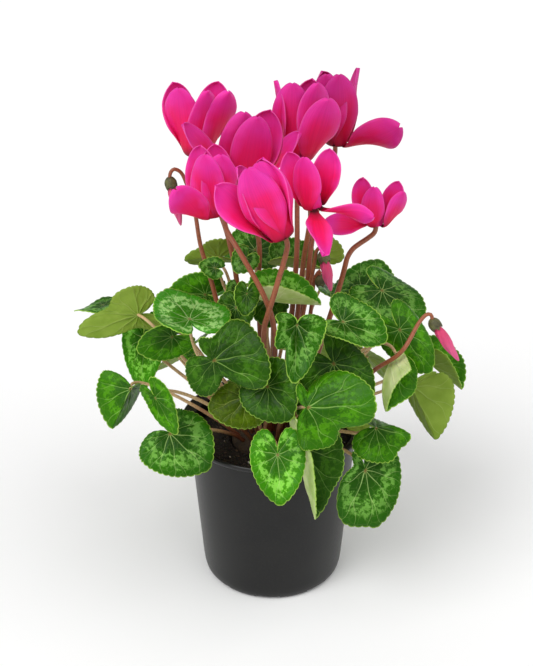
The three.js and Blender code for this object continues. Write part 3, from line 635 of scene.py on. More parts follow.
@dataclass
class Stem:
    """One stalk's way: its node, where it aims, its end and the points past it, and what it belongs to."""

    name: str
    node: str
    aim: Array
    end: Array
    arrive: Array
    via: list[Array]
    tail: list[Array]
    own: str
    path: Array = field(default_factory=lambda: np.zeros((0, 3)))


@dataclass(frozen=True)
class Tuber:
    """The flattened tuber under the crown."""

    radius: float = 27.0
    half_height: float = 13.0
    centre: float = 98.0
    start_lift: float = 0.4

    def start(self, x: float, y: float) -> tuple[Array, Array]:
        """Returns where a stalk starts above the tuber, and the direction out of the tuber there."""
        height = self.half_height * math.sqrt(1 - (x * x + y * y) / self.radius**2)
        normal = unit(vec(x / self.radius**2, y / self.radius**2, height / self.half_height**2))
        return vec(x, y, self.centre + height) + normal * self.start_lift, normal


TUBER = Tuber()


def catmull_rom(points: Sequence[Array], share: float) -> Array:
    """Finds a point of a centripetal Catmull-Rom curve.

    Args:
        points: the points that it passes.
        share: how far along it, from 0 to 1.

    Returns:
        The point.
    """
    last = len(points) - 1
    place = last * share
    i = min(int(place), last - 1)
    t = place - i
    p1, p2 = points[i], points[i + 1]
    p0 = points[i - 1] if i else 2 * p1 - p2
    p3 = points[i + 2] if i + 2 <= last else 2 * p2 - p1
    d0, d1, d2 = (float(np.sum((b - a) ** 2)) ** 0.25 for a, b in ((p0, p1), (p1, p2), (p2, p3)))
    m1 = ((p1 - p0) / d0 - (p2 - p0) / (d0 + d1) + (p2 - p1) / d1) * d1
    m2 = ((p2 - p1) / d1 - (p3 - p1) / (d1 + d2) + (p3 - p2) / d2) * d1
    return p1 + m1 * t + (3 * (p2 - p1) - 2 * m1 - m2) * t * t + (2 * (p1 - p2) + m1 + m2) * t**3


@dataclass
class Router:
    """Roots every stalk on the tuber and bends it clear of the others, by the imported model's own rule."""

    root_spacing: float = 5.4
    root_ring: float = 23.5
    stalk_spacing: float = 5.6
    blade_spacing: float = 5.0
    point_step: float = 6.0
    rounds: int = 70
    root_rounds: int = 300
    root_push: float = 0.3
    ring_level: float = 26.0
    ring_fall: float = 6.5
    ring_least: float = 4.0
    ring_step: float = 0.1
    rise: float = 7.0
    leave: float = 0.35
    arrive: float = 0.3
    fine_steps: int = 200
    stalk_push: float = 0.4
    blade_push: float = 0.8
    longest_push: float = 1.5

    def roots(self, stems: Sequence[Stem]) -> dict[str, tuple[float, float]]:
        """Returns where each node's stalks root, seen from above."""
        found: dict[str, list[float]] = {}
        for stem in stems:
            if stem.node in found:
                continue
            away = math.hypot(stem.aim[0], stem.aim[1])
            steep = (stem.aim[2] - TUBER.centre) / max(away, 1)
            ring = float(clamped(self.ring_level - self.ring_fall * steep, self.ring_least, self.root_ring))
            ring += self.ring_step * len(found)
            found[stem.node] = [stem.aim[0] / away * ring, stem.aim[1] / away * ring]
        spots = np.array(list(found.values()))
        for _ in range(self.root_rounds):
            away = spots[:, None] - spots[None]
            gap = np.linalg.norm(away, axis=2)
            push = self.root_push * (self.root_spacing - gap) / np.maximum(gap, 0.01)
            push = np.where(gap < self.root_spacing, push, 0)
            np.fill_diagonal(push, 0)
            spots = spots + (push[:, :, None] * away).sum(1)
            spots *= np.minimum(1, self.root_ring / np.linalg.norm(spots, axis=1))[:, None]
        return {name: (float(x), float(y)) for name, (x, y) in zip(found, spots)}

    def start_path(self, stem: Stem, root: tuple[float, float]) -> Array:
        """Returns evenly spaced points of a stalk's first route from its root."""
        start, normal = TUBER.start(*root)
        gap = float(np.linalg.norm(stem.end - start))
        if stem.via:
            knots = [start, start + self.rise * normal, *stem.via, stem.end, stem.tail[0]]
            share = (len(knots) - 2) / (len(knots) - 1)
            fine = np.array([
                catmull_rom(knots, share * i / self.fine_steps) for i in range(self.fine_steps + 1)
            ])
        else:
            t = (np.arange(self.fine_steps + 1) / self.fine_steps)[:, None]
            one = start + normal * self.leave * gap
            two = stem.end - stem.arrive * self.arrive * gap
            fine = (1 - t) ** 3 * start + 3 * (1 - t) ** 2 * t * one + 3 * (1 - t) * t * t * two
            fine += t**3 * stem.end
        run = run_along(fine)
        count = max(4, math.floor(run[-1] / self.point_step + 0.5))
        reach = run[-1] * np.arange(count + 1) / count
        return np.stack([np.interp(reach, run, fine[:, k]) for k in range(3)], 1)

    def run(self, stems: Sequence[Stem], marks: Array, owners: Array) -> None:
        """Bends the stalks clear.

        Args:
            stems: the stalks; each gets its path.
            marks: points on blades and blooms that stalks keep away from.
            owners: the number of the stalk that each mark belongs to.
        """
        roots = self.roots(stems)
        for stem in stems:
            stem.path = self.start_path(stem, roots[stem.node])
        count = [len(s.path) for s in stems]
        first = np.concatenate([[0], np.cumsum(count)])
        whose = np.repeat(np.arange(len(stems)), count)
        order = np.concatenate([np.arange(n) for n in count])
        left = np.repeat(count, count) - order
        free = np.flatnonzero((order >= 2) & (left > 2))
        nodes = np.array([node_place(s.node, stems) for s in stems])[whose]
        base = np.concatenate([s.path for s in stems])
        shift = np.zeros_like(base)
        apart = (nodes[free][:, None] != nodes[None]) | (order >= 4)[None]
        stalk_ok = (whose[free][:, None] != whose[None]) & apart
        mark_ok = whose[free][:, None] != owners[None]
        for _ in range(self.rounds):
            here = base + shift
            push = shoved(here[free], here, stalk_ok, self.stalk_spacing, self.stalk_push)
            push += shoved(here[free], marks, mark_ok, self.blade_spacing, self.blade_push)
            length = np.linalg.norm(push, axis=1)
            shift[free] += push * np.minimum(1, self.longest_push / np.maximum(length, 1e-9))[:, None]
            before = shift.copy()
            shift[free] = 0.5 * before[free] + 0.25 * before[free - 1] + 0.25 * before[free + 1]
        for s, stem in enumerate(stems):
            path = (base + shift)[first[s] : first[s + 1]]
            stem.path = np.concatenate([path, np.array(stem.tail).reshape(-1, 3)])


def node_place(node: str, stems: Sequence[Stem]) -> int:
    """Returns the place of a node's first stalk in the list of stalks."""
    return next(i for i, stem in enumerate(stems) if stem.node == node)


def shoved(here: Array, there: Array, counts: Array, spacing: float, strength: float) -> Array:
    """Works out how points are pushed away from others that are too close.

    Args:
        here: the points that move.
        there: the points that push.
        counts: whether each pair counts.
        spacing: the distance that they want.
        strength: how strongly they push.

    Returns:
        One push for each point.
    """
    square = (here**2).sum(1)[:, None] + (there**2).sum(1)[None] - 2 * here @ there.T
    rows, others = np.nonzero((square < spacing**2) & counts)
    away = here[rows] - there[others]
    gap = np.linalg.norm(away, axis=1)
    weight = np.where(gap < spacing, strength * (spacing - gap) / np.maximum(gap, 0.1), 0)
    push = np.zeros_like(here)
    np.add.at(push, rows, weight[:, None] * away)
    return push


# Blooms

PETALS = 5
MOUTH_RADIUS = 4.6
STALK_GAP = 112.0
ROLL_OVER = 150.0
ROLL_LENGTH = 2.4
PETAL_BROAD = 0.5
PETAL_WIDEST = 0.52
PETAL_NECK = 0.24
PETAL_STEPS = 60
CUP = 0.11
TUBE_DEPTH = 8.0
HOOK = ((8.2, -9), (7.9, 0), (7.6, 6), (6.6, 11.5), (3.6, 14.6), (0.8, 13.6), (0, 11))


@dataclass(frozen=True)
class Bloom:
    """One bloom: centre of its mouth, petal length, [tilt, heading] of its axis and heading of its stalk's
    gap, then its petals' lean, twist, turn and bend, and the points that its stalk passes."""

    name: str
    at: Point
    petal: float
    tilt: tuple[float, float]
    gap: float
    lean: Sequence[float]
    twist: Sequence[float]
    turn: Sequence[float]
    bend: Sequence[float]
    via: Sequence[Point]

    def axes(self) -> tuple[Array, Array, Array]:
        """Returns the directions to the stalk's gap, to the side of it and up the bloom's axis."""
        t, h, g = (math.radians(a) for a in (*self.tilt, self.gap))
        up = vec(math.sin(t) * math.cos(h), math.sin(t) * math.sin(h), math.cos(t))
        out = vec(math.cos(g), math.sin(g), 0)
        out = unit(out - up * (out @ up))
        return out, np.cross(up, out), up

    def half_width(self, t: Array) -> Array:
        """Returns half a petal's width at shares of its length."""
        close = clamped((t - PETAL_WIDEST) / (1 - PETAL_WIDEST))
        rise = PETAL_NECK + (1 - PETAL_NECK) * smooth(t, 0, 0.5)
        return self.petal * PETAL_BROAD / 2 * rise * np.maximum(1 - close**2.1, 0) ** 0.58

    def points(self, k: int, t: Array, across: Array, lift: Array | float = 0.0) -> Array:
        """Finds points of one petal.

        Args:
            k: which petal, round from the stalk's gap.
            t: how far along it.
            across: from -1 to 1 over its width.
            lift: millimetres off its face.

        Returns:
            The points, in millimetres.
        """
        steps = np.arange(PETAL_STEPS + 1) / PETAL_STEPS
        roll = (ROLL_OVER - self.lean[k]) * np.exp(-((steps * self.petal / ROLL_LENGTH) ** 1.5))
        angle = np.radians(self.lean[k] + self.bend[k] * steps + roll)
        mean = (angle[1:] + angle[:-1]) / 2
        r = MOUTH_RADIUS + np.concatenate([[0], np.cumsum(np.sin(mean))]) * self.petal / PETAL_STEPS
        z = np.concatenate([[0], np.cumsum(np.cos(mean))]) * self.petal / PETAL_STEPS
        r, z, angle = (np.interp(t, steps, values)[:, None] for values in (r, z, angle))
        azimuth = math.radians(STALK_GAP / 2 + (360 - STALK_GAP) / 4 * k + self.turn[k])
        gap, side, up = self.axes()
        out = gap * math.cos(azimuth) + side * math.sin(azimuth)
        round_ = np.cross(up, out)
        face = out * np.cos(angle) - up * np.sin(angle)
        twist = math.radians(self.twist[k]) * clamped((t - 0.08) / 0.7)[:, None]
        wide = round_ * np.cos(twist) + face * np.sin(twist)
        top = face * np.cos(twist) - round_ * np.sin(twist)
        cup = CUP * self.petal * PETAL_BROAD * clamped(3 * t)
        return (
            vec(*self.at) + out * r + up * z + wide * (self.half_width(t) * across)[:, None]
            + top * (lift - cup * across**2)[:, None]
        )

    def stem(self) -> Stem:
        """Returns the stalk that comes up beside the mouth and hooks over to the calyx."""
        out, _, up = self.axes()
        hook = [vec(*self.at) + out * r + up * z for r, z in HOOK]
        name = "stalk_" + self.name
        via = [vec(*p) for p in self.via]
        return Stem(name, name, via[0], hook[0], up, via, hook[1:], "bloom_" + self.name)


@dataclass(frozen=True)
class Bud:
    """One bud: top of its calyx, the way it points, length of its petals, and its stalk's way and hook."""

    name: str
    at: Point
    point: Point
    petal: float
    via: Sequence[Point]
    hook: Sequence[Point]

    def stem(self) -> Stem:
        """Returns the stalk that hooks over to the calyx."""
        hook = [vec(*p) for p in (*self.hook, self.at)]
        name = "stalk_bud_" + self.name
        via = [vec(*p) for p in self.via]
        return Stem(name, name, via[0], hook[0], unit(hook[1] - hook[0]), via, hook[1:], "bud_" + self.name)


def leaf_stem(leaf: Leaf) -> Stem:
    """Returns the stalk that comes up to a leaf's joint from below."""
    tip, _, up = leaf.axes()
    at = vec(*leaf.at)
    return Stem(leaf.name, leaf.node or leaf.name, at, at, unit(tip * 0.35 + up * 0.9), [], [], leaf.name)


# The plant's layout

# The leaves whose undersides take the lighter, cream copy of the underside colours: painted light where low
# light strikes them.
PAINTED_LIGHT_BELOW = ("leaf_front_fold", "leaf_right_curl", "leaf_mid_bright")
T = LeafTone
LEAVES = (
    # front
    Leaf("leaf_front_heart", (3, -90, 143), (-85, -55, 5), 30, width=0.74, side=12, droop=5, wave=1,
         tone=T.LIME),
    Leaf("leaf_front_fold", (14, -68, 133), (-59, -60, -25), 45, width=0.86, fold=52, wave=1,
         notches=((28, 0.1, 20),), tone=T.DEEP),
    Leaf("leaf_right_low", (56, -65.5, 116), (-55, -70, 30), 37.5, width=0.8, side=-10,
         notches=((-40, -0.32, 22), (-118, 0.65, 42)), tone=T.SILVER),
    Leaf("leaf_right_point", (62, -61, 143), (-15, -5, 25), 25, width=1.2, fold=-40, wave=2,
         notches=((-25, 0.15, 15), (45, 0.45, 40))),
    Leaf("leaf_centre_big", (20, -84, 171), (-8, 5, 60), 45, width=0.84, fold=-12, wave=4, phase=40,
         back=0.3, notches=((0, 0.1, 14), (-39, 0.34, 18), (-80, 0.1, 30), (100, 0.65, 32))),
    Leaf("leaf_centre_left", (-34, -63, 190), (-15, -22, 75), 39, fold=-15, wave=3, phase=20, back=0.8,
         notches=((0, 0.08, 14), (-42, 0.6, 27), (-120, 0.15, 40), (125, 0.45, 27)), tone=T.DEEP),
    Leaf("leaf_centre_marble", (14, -62, 213), (-97, -60, -10), 35, width=0.8, fold=35, wave=3, waves=4,
         phase=90, back=0.35, notches=((-32, 0.4, 15), (-85, 0.3, 30), (60, 0.12, 40)), tone=T.SILVER),
    Leaf("leaf_centre_dark", (36, -50, 181), (-15, -45, 50), 34, width=0.95, side=-15,
         notches=((90, 0.25, 50),), tone=T.DEEP),
    Leaf("leaf_crown_low", (-16, -55, 161), (-175, -18, -62), 25, width=1.05, back=0.8,
         notches=((-60, 0.3, 40),), node="leaves_crown", tone=T.OLIVE),
    Leaf("leaf_crown_mid", (-3, -60, 171), (-50, -30, 50), 26, node="leaves_crown", tone=T.DEEP),
    Leaf("leaf_low_fill", (27, -48, 157), (-40, -50, 45), 22, node="leaves_low", tone=T.DEEP),
    Leaf("leaf_behind_point", (55, -24, 132), (-120, -60, 135), 16, width=0.9, node="leaves_low"),
    # right
    Leaf("leaf_right_marble", (41, -45, 206), (-12, -20, 32), 30, width=0.95, fold=22, wave=2, back=0.8,
         notches=((75, 0.2, 50), (-70, 0.2, 45)), tone=T.SILVER),
    Leaf("leaf_right_curl", (74, -40, 182), (-158, -50, -110), 38, width=0.85, fold=60, droop=-64, wave=1,
         back=0.25, notches=((110, 0.35, 45), (35, -0.12, 20))),
    Leaf("leaf_right_under", (88, -13, 144), (-45, -55, -103), 38, width=0.95, fold=38, wave=1, back=0.2,
         notches=((-105, 0.3, 25), (88, 0.4, 45))),
    Leaf("leaf_right_far", (103, 16, 144), (-20, -35, 0), 27, fold=58, node="leaves_right_far"),
    Leaf("leaf_right_mid", (77, -24, 190), (-35, -45, 45), 33, width=0.7, side=-55, node="leaves_right_far"),
    Leaf("leaf_right_up", (69, 16, 197), (-28, -22, 15), 33, width=0.95, side=-25, node="leaves_right_up",
         tone=T.SILVER),
    Leaf("leaf_right_back", (59, 46, 183), (60, 22, 0), 30, side=-10, node="leaves_right_up", tone=T.SILVER),
    # middle
    Leaf("leaf_mid_bright", (0, -22, 208), (0, -5, 5), 30, width=0.95, fold=55, wave=1, tone=T.LIME),
    Leaf("leaf_mid_top", (9, 22, 211), (0, -5, 10), 24, width=1.1, fold=50, wave=1, tone=T.SILVER),
    Leaf("leaf_mid_fill", (-3, -7, 203), (-80, -60, 10), 19, side=-20, tone=T.DEEP),
    Leaf("leaf_top_back", (-11, 38, 215), (80, 25, 0), 28, node="leaves_top", tone=T.SILVER),
    Leaf("leaf_top_right", (32, 36, 212), (0, -12, -120), 17, width=1.1, back=0.3, notches=((70, 0.7, 60),),
         node="leaves_top"),
    Leaf("leaf_top_left", (-34, 19, 219), (178, -5, 58), 23, width=0.95, fold=16, notches=((40, 0.3, 30),)),
    Leaf("leaf_small_curl", (-35, 0, 220), (175, 10, -50), 11, width=0.9, wave=1, node="leaves_small",
         tone=T.SILVER),
    Leaf("leaf_small_tip", (-16, 0, 227), (-150, -45, -50), 12, wave=1, node="leaves_small", tone=T.SILVER),
    Leaf("leaf_small_marble", (-22, -6, 209), (-110, -60, -20), 10, width=0.9, wave=1, node="leaves_young",
         tone=T.SILVER),
    Leaf("leaf_mid_dark", (-15, -36, 220), (-100, -60, -10), 14, width=0.75, side=10, node="leaves_young",
         tone=T.DEEP),
    Leaf("leaf_left_fill", (-22, -18, 202), (-107, -60, -5), 19, width=0.85, node="leaves_young",
         tone=T.DEEP),
    # left
    Leaf("leaf_left_marble", (-49, -38, 204), (120, 12, 8), 31, width=1.12, side=20, wave=2, phase=60,
         notches=((70, 0.15, 40),), tone=T.PALE),
    Leaf("leaf_left_bowl", (-61, -22, 184), (-170, -20, -90), 24, width=0.8, side=35),
    Leaf("leaf_left_hang", (-81.5, 3, 170), (-100, -70, 5), 35, width=0.55, tone=T.LIME),
    Leaf("leaf_left_low", (-87, -32, 153), (-140, -55, -70), 28, width=1.2, fold=-52, back=0.3),
    Leaf("leaf_left_fold", (-69, -63, 165), (-38, -50, 60), 26, width=0.55, side=25, back=0.9,
         notches=((-90, 0.45, 45),)),
    Leaf("leaf_left_bottom", (-62, -56, 136), (-25, -35, 40), 33, side=-10, back=0.55,
         notches=((105, 0.25, 35),), tone=T.SILVER),
    Leaf("leaf_left_back", (-42, 8, 198), (180, 5, -80), 24, width=0.85, node="leaves_left_back"),
    Leaf("leaf_left_tiny", (-51, 5, 157), (-175, -15, -40), 9, width=0.7, node="leaves_left_back"),
    Leaf("leaf_far_left", (-83, -6, 191), (-170, -15, 100), 43, width=0.6, side=10, back=0.6,
         notches=((-70, 0.55, 50), (45, 0.3, 22)), node="leaves_far_left"),
    Leaf("leaf_far_left_up", (-108, 20, 185), (182, -12, 8), 20, width=0.8, node="leaves_far_left",
         tone=T.SILVER),
    # back
    Leaf("leaf_back_left", (-51, 70, 164), (150, -20, -10), 34, side=-15, wave=2, node="leaves_back_left",
         tone=T.SILVER),
    Leaf("leaf_back_left_low", (-64, 62, 128), (135, -45, -5), 34, width=0.95, wave=2,
         node="leaves_back_left"),
    Leaf("leaf_back_mid", (-7, 92, 164), (95, -25, 5), 36, side=-15, wave=2, node="leaves_back_mid",
         tone=T.LIME),
    Leaf("leaf_back_mid_low", (-23, 92, 117), (105, -55, 0), 32, width=0.9, wave=2, node="leaves_back_mid",
         tone=T.DEEP),
    Leaf("leaf_back_right", (34, 78, 171), (60, -25, 8), 35, side=-15, wave=2, node="leaves_back_right",
         tone=T.SILVER),
    Leaf("leaf_back_right_low", (23, 92, 117), (70, -55, 0), 33, width=0.9, wave=2,
         node="leaves_back_right"),
    Leaf("leaf_back_far_right", (67, 52, 158), (25, -30, 12), 34, width=0.95, side=-15,
         node="leaves_back_end", tone=T.LIME),
    Leaf("leaf_back_end_right", (66, 60, 126), (40, -55, 0), 32, width=0.9, node="leaves_back_end",
         tone=T.DEEP),
)

BLOOMS = (
    Bloom("left_high", (-46, 28, 284), 46, (2, 0), 100, (12, 12, 8, 20, 12), (40, -40, -15, 40, -40),
          (0, 0, 20, 0, 0), (0, -8, 0, -6, 0), ((-23, 8, 203), (-28, 14, 229), (-34, 19, 250))),
    Bloom("mid_back", (-17.5, 0, 273), 50, (8, 0), 100, (44, 0, 4, 34, 6), (15, -55, 0, -30, -40),
          (24, 14, 4, 0, -5), (0, 0, 0, -10, 0), ((-8, 6, 207), (-9, 8, 239))),
    Bloom("left_mid", (-36, -22.5, 265), 42, (3, 180), 10, (5, 2, 54, 2, 8), (-40, 40, -55, 20, 40),
          (0, -20, 54, 16, 0), (0, 0, -20, 0, 0), ((0, -36, 198), (-6, -38, 219), (-17, -32, 240))),
    Bloom("front", (5, -50, 263), 49, (22, 180), 90, (2, 24, 0, -2, 0), (0, 60, -20, 30, -40),
          (14, -18, -10, -15, -18), (0, -10, 0, 0, 0), ((-5, -40, 198), (-3, -44, 209), (3, -48, 233))),
    Bloom("top_left", (16, 16, 285), 50, (2, 180), 100, (8, -4, 32, 6, 4), (-30, -40, 30, 40, -40),
          (4, 15, 30, 0, -8), (0, 0, -14, 0, 0), ((14, 3, 212), (15, 6, 232), (15, 16, 255))),
    Bloom("top_right", (40, 36, 288), 47, (2, 180), 100, (3, 0, -2, 70, 16), (30, -40, 0, 80, 40),
          (0, 0, 0, -24, 0), (0, 0, 0, -14, 0), ((23, 4, 206), (24, 8, 224), (28, 24, 249))),
    Bloom("low_mid", (23, -30, 273), 35, (3, 180), 100, (12, 2, 116, 88, 9), (45, 0, 50, 70, -50),
          (0, 26, -4, -15, -12), (0, 0, 0, 0, 0), ((17, -3, 206), (19, -9, 231))),
    Bloom("right", (61, -5, 252), 29, (4, 0), 78, (9, 84, 10, 30, 20), (70, 60, 0, 30, -30),
          (6, 0, -10, 8, 8), (0, 0, -10, -20, -10), ((39, -8, 204), (43, -6, 219), (47, -5, 233))),
)

BUDS = (
    Bud("left", (-61, 4, 276), (0.2, -0.07, -1), 25, ((-36, 4, 203), (-43, 6, 230), (-47, 8, 255)),
        ((-51, 7, 271), (-54, 6, 279), (-58, 5, 282), (-60.5, 4, 280))),
    Bud("mid", (30, -14, 236), (0.22, -0.13, -1), 20, ((20, -9, 200), (24, -10, 220)),
        ((25.5, -11, 231), (26.5, -12, 237), (29, -13.5, 239.5))),
    Bud("right", (94, -42, 205), (0.6, -0.1, -0.9), 26, ((50, -32, 150), (61, -40, 170), (76, -53, 191)),
        ((86, -44, 205), (90, -42, 209), (93, -42, 209))),
    Bud("green", (29, 0, 214), (0.2, 0, -1), 6, ((22, 2, 180), (25, 1, 205)),
        ((26, 0, 213), (28, 0, 217), (29, 0, 218))),
)
GREEN_BUD = "green"
# Painted shade: how light the petals of the blooms that stand in shade are drawn.
PAINTED_SHADES = {"top_right": 0.68, "top_left": 0.87, "right": 0.86, "mid_back": 0.84}


# The points that stalks keep away from: on a blade, the share of the way out and the number round it; on a
# petal, the shares along it and across it.
BLADE_MARKS = ((0.35, 8), (0.7, 16), (1, 24))
PETAL_MARKS = ((0.1, 0.3, 0.5, 0.7, 0.9), (-1, 0, 1))


def routed() -> dict[str, Stem]:
    """Roots and routes every stalk of the plant, and returns them by name."""
    stems = [leaf_stem(s) for s in LEAVES] + [s.stem() for s in (*BLOOMS, *BUDS)]
    numbers = {stem.own: i for i, stem in enumerate(stems)}
    marks, owners = [], []
    for leaf in LEAVES:
        spots = [(0.0, 0.0)]
        for share, n in BLADE_MARKS:
            spots += [(-math.pi + 2 * math.pi * i / n, share) for i in range(n)]
        phi, share = np.array(spots).T
        marks.append(leaf.points(phi, share))
        owners += [numbers[leaf.name]] * len(spots)
    for bloom in BLOOMS:
        t, across = (g.ravel() for g in np.meshgrid(*PETAL_MARKS, indexing="ij"))
        for k in range(PETALS):
            marks.append(bloom.points(k, t, across))
            owners += [numbers["bloom_" + bloom.name]] * len(t)
    Router().run(stems, np.concatenate(marks), np.array(owners))
    return {stem.name: stem for stem in stems}


# Stalks, by Geometry Nodes along a path


@dataclass(frozen=True)
class StalkSize:
    """A stalk's thickness at its base and at its top, and how round and finely stepped it is."""

    base: float
    top: float
    sides: int = 10
    step: float = 2.0


LEAF_STALK = StalkSize(1.35, 0.95, sides=8)
FLOWER_STALK = StalkSize(1.9, 1.45, sides=12, step=1.5)
BUD_STALK = StalkSize(1.9, 1.1, sides=12, step=1.5)
ALONG = "along"


class StalkMaker:
    """Runs a tapered round stalk along each line of a mesh."""

    def __init__(self) -> None:
        """Builds the node tree once."""
        self.grower = Grower("tapered_stalk", self.tube, base="Float", top="Float", step="Float", sides="Int")

    @staticmethod
    def tube(tree: bpy.types.NodeTree, given: bpy.types.NodeOutputs) -> bpy.types.Node:
        """Adds the nodes that sweep a ring along a line, and returns the one with the tube."""
        line = put(tree, "GeometryNodeMeshToCurve", {"Mesh": given["Geometry"]})
        line = put(tree, "GeometryNodeCurveSplineType", {"Curve": line}, spline_type="CATMULL_ROM")
        line = put(tree, "GeometryNodeResampleCurve", {"Curve": line, "Length": given["step"]}, mode="LENGTH")
        along = put(tree, "GeometryNodeInputNamedAttribute", {"Name": ALONG}, data_type="FLOAT")
        radius = put(tree, RANGE, {"Value": along, "To Min": given["base"], "To Max": given["top"]})
        ring = put(tree, "GeometryNodeCurvePrimitiveCircle", {"Resolution": given["sides"], "Radius": 1.0})
        tube = put(tree, "GeometryNodeCurveToMesh",
                   {"Curve": line, "Profile Curve": ring, "Scale": radius, "Fill Caps": True})
        return put(tree, "GeometryNodeSetShadeSmooth", {"Geometry": tube})

    def make(
        self, name: str, paths: Sequence[Array], size: StalkSize, skin: bpy.types.Material
    ) -> bpy.types.Object:
        """Makes the stalks of one piece.

        Args:
            name: the object's name.
            paths: one row of points for each stalk, in millimetres, base first.
            size: their thickness.
            skin: their material.

        Returns:
            One plain mesh object with all of them.
        """
        mesh = bpy.data.meshes.new(name)
        edges, shares, start = [], [], 0
        for path in paths:
            edges += [(start + i, start + i + 1) for i in range(len(path) - 1)]
            run = run_along(path)
            shares.append(run / run[-1])
            start += len(path)
        mesh.from_pydata((np.concatenate(paths) * METRE).tolist(), edges, [])
        values = np.concatenate(shares).astype(np.float32)
        mesh.attributes.new(ALONG, "FLOAT", "POINT").data.foreach_set("value", values)
        made = bpy.data.objects.new(name, mesh)
        bpy.context.scene.collection.objects.link(made)
        return self.grower.grow(made, base=size.base * METRE, top=size.top * METRE, step=size.step * METRE,
                                sides=size.sides, skin=skin)


# Finishes


def vein_mask(tree: bpy.types.NodeTree, turn: object, share: object, seed: object, base: float,
              edge: float) -> bpy.types.Node:
    """Draws the forking veins of vein_depth in a material.

    Args:
        tree: the material's tree.
        turn: the socket of the share of a turn round the joint.
        share: the socket of the share out to the edge.
        seed: the socket of the leaf's number.
        base: half a vein's width at the joint, in vein spacings at the edge.
        edge: the same at the edge.

    Returns:
        The node that is 1 on a vein and 0 off it.
    """
    wave = put(tree, MATH, {0: turn, 1: WAVER_ROUND, 2: seed}, operation="MULTIPLY_ADD")
    wave = put(tree, MATH, {0: share, 1: WAVER_OUT, 2: wave}, operation="MULTIPLY_ADD")
    wave = put(tree, MATH, {0: wave}, operation="SINE")
    cell = put(tree, MATH, {0: turn, 1: 0.5}, operation="SUBTRACT")
    cell = put(tree, MATH, {0: cell, 1: VEIN_SPACING / 360}, operation="DIVIDE")
    cell = put(tree, MATH, {0: wave, 1: WAVER, 2: cell}, operation="MULTIPLY_ADD")
    near = put(tree, MATH, {0: cell, 1: 0.5}, operation="PINGPONG")
    fork = put(tree, MATH, {0: share, 1: FORK_START}, operation="SUBTRACT")
    fork = put(tree, MATH, {0: fork, 1: 0.0}, operation="MAXIMUM")
    fork = put(tree, MATH, {0: fork, 1: FORK_SPREAD}, operation="MULTIPLY")
    gap = put(tree, MATH, {0: near, 1: fork}, operation="SUBTRACT")
    gap = put(tree, MATH, {0: gap}, operation="ABSOLUTE")
    gap = put(tree, MATH, {0: gap, 1: share}, operation="MULTIPLY")
    thick = put(tree, RANGE, {"Value": share, "To Min": base, "To Max": edge})
    return put(tree, RANGE, {"Value": gap, "From Max": thick, "To Min": 1.0, "To Max": 0.0},
               interpolation_type="SMOOTHSTEP")


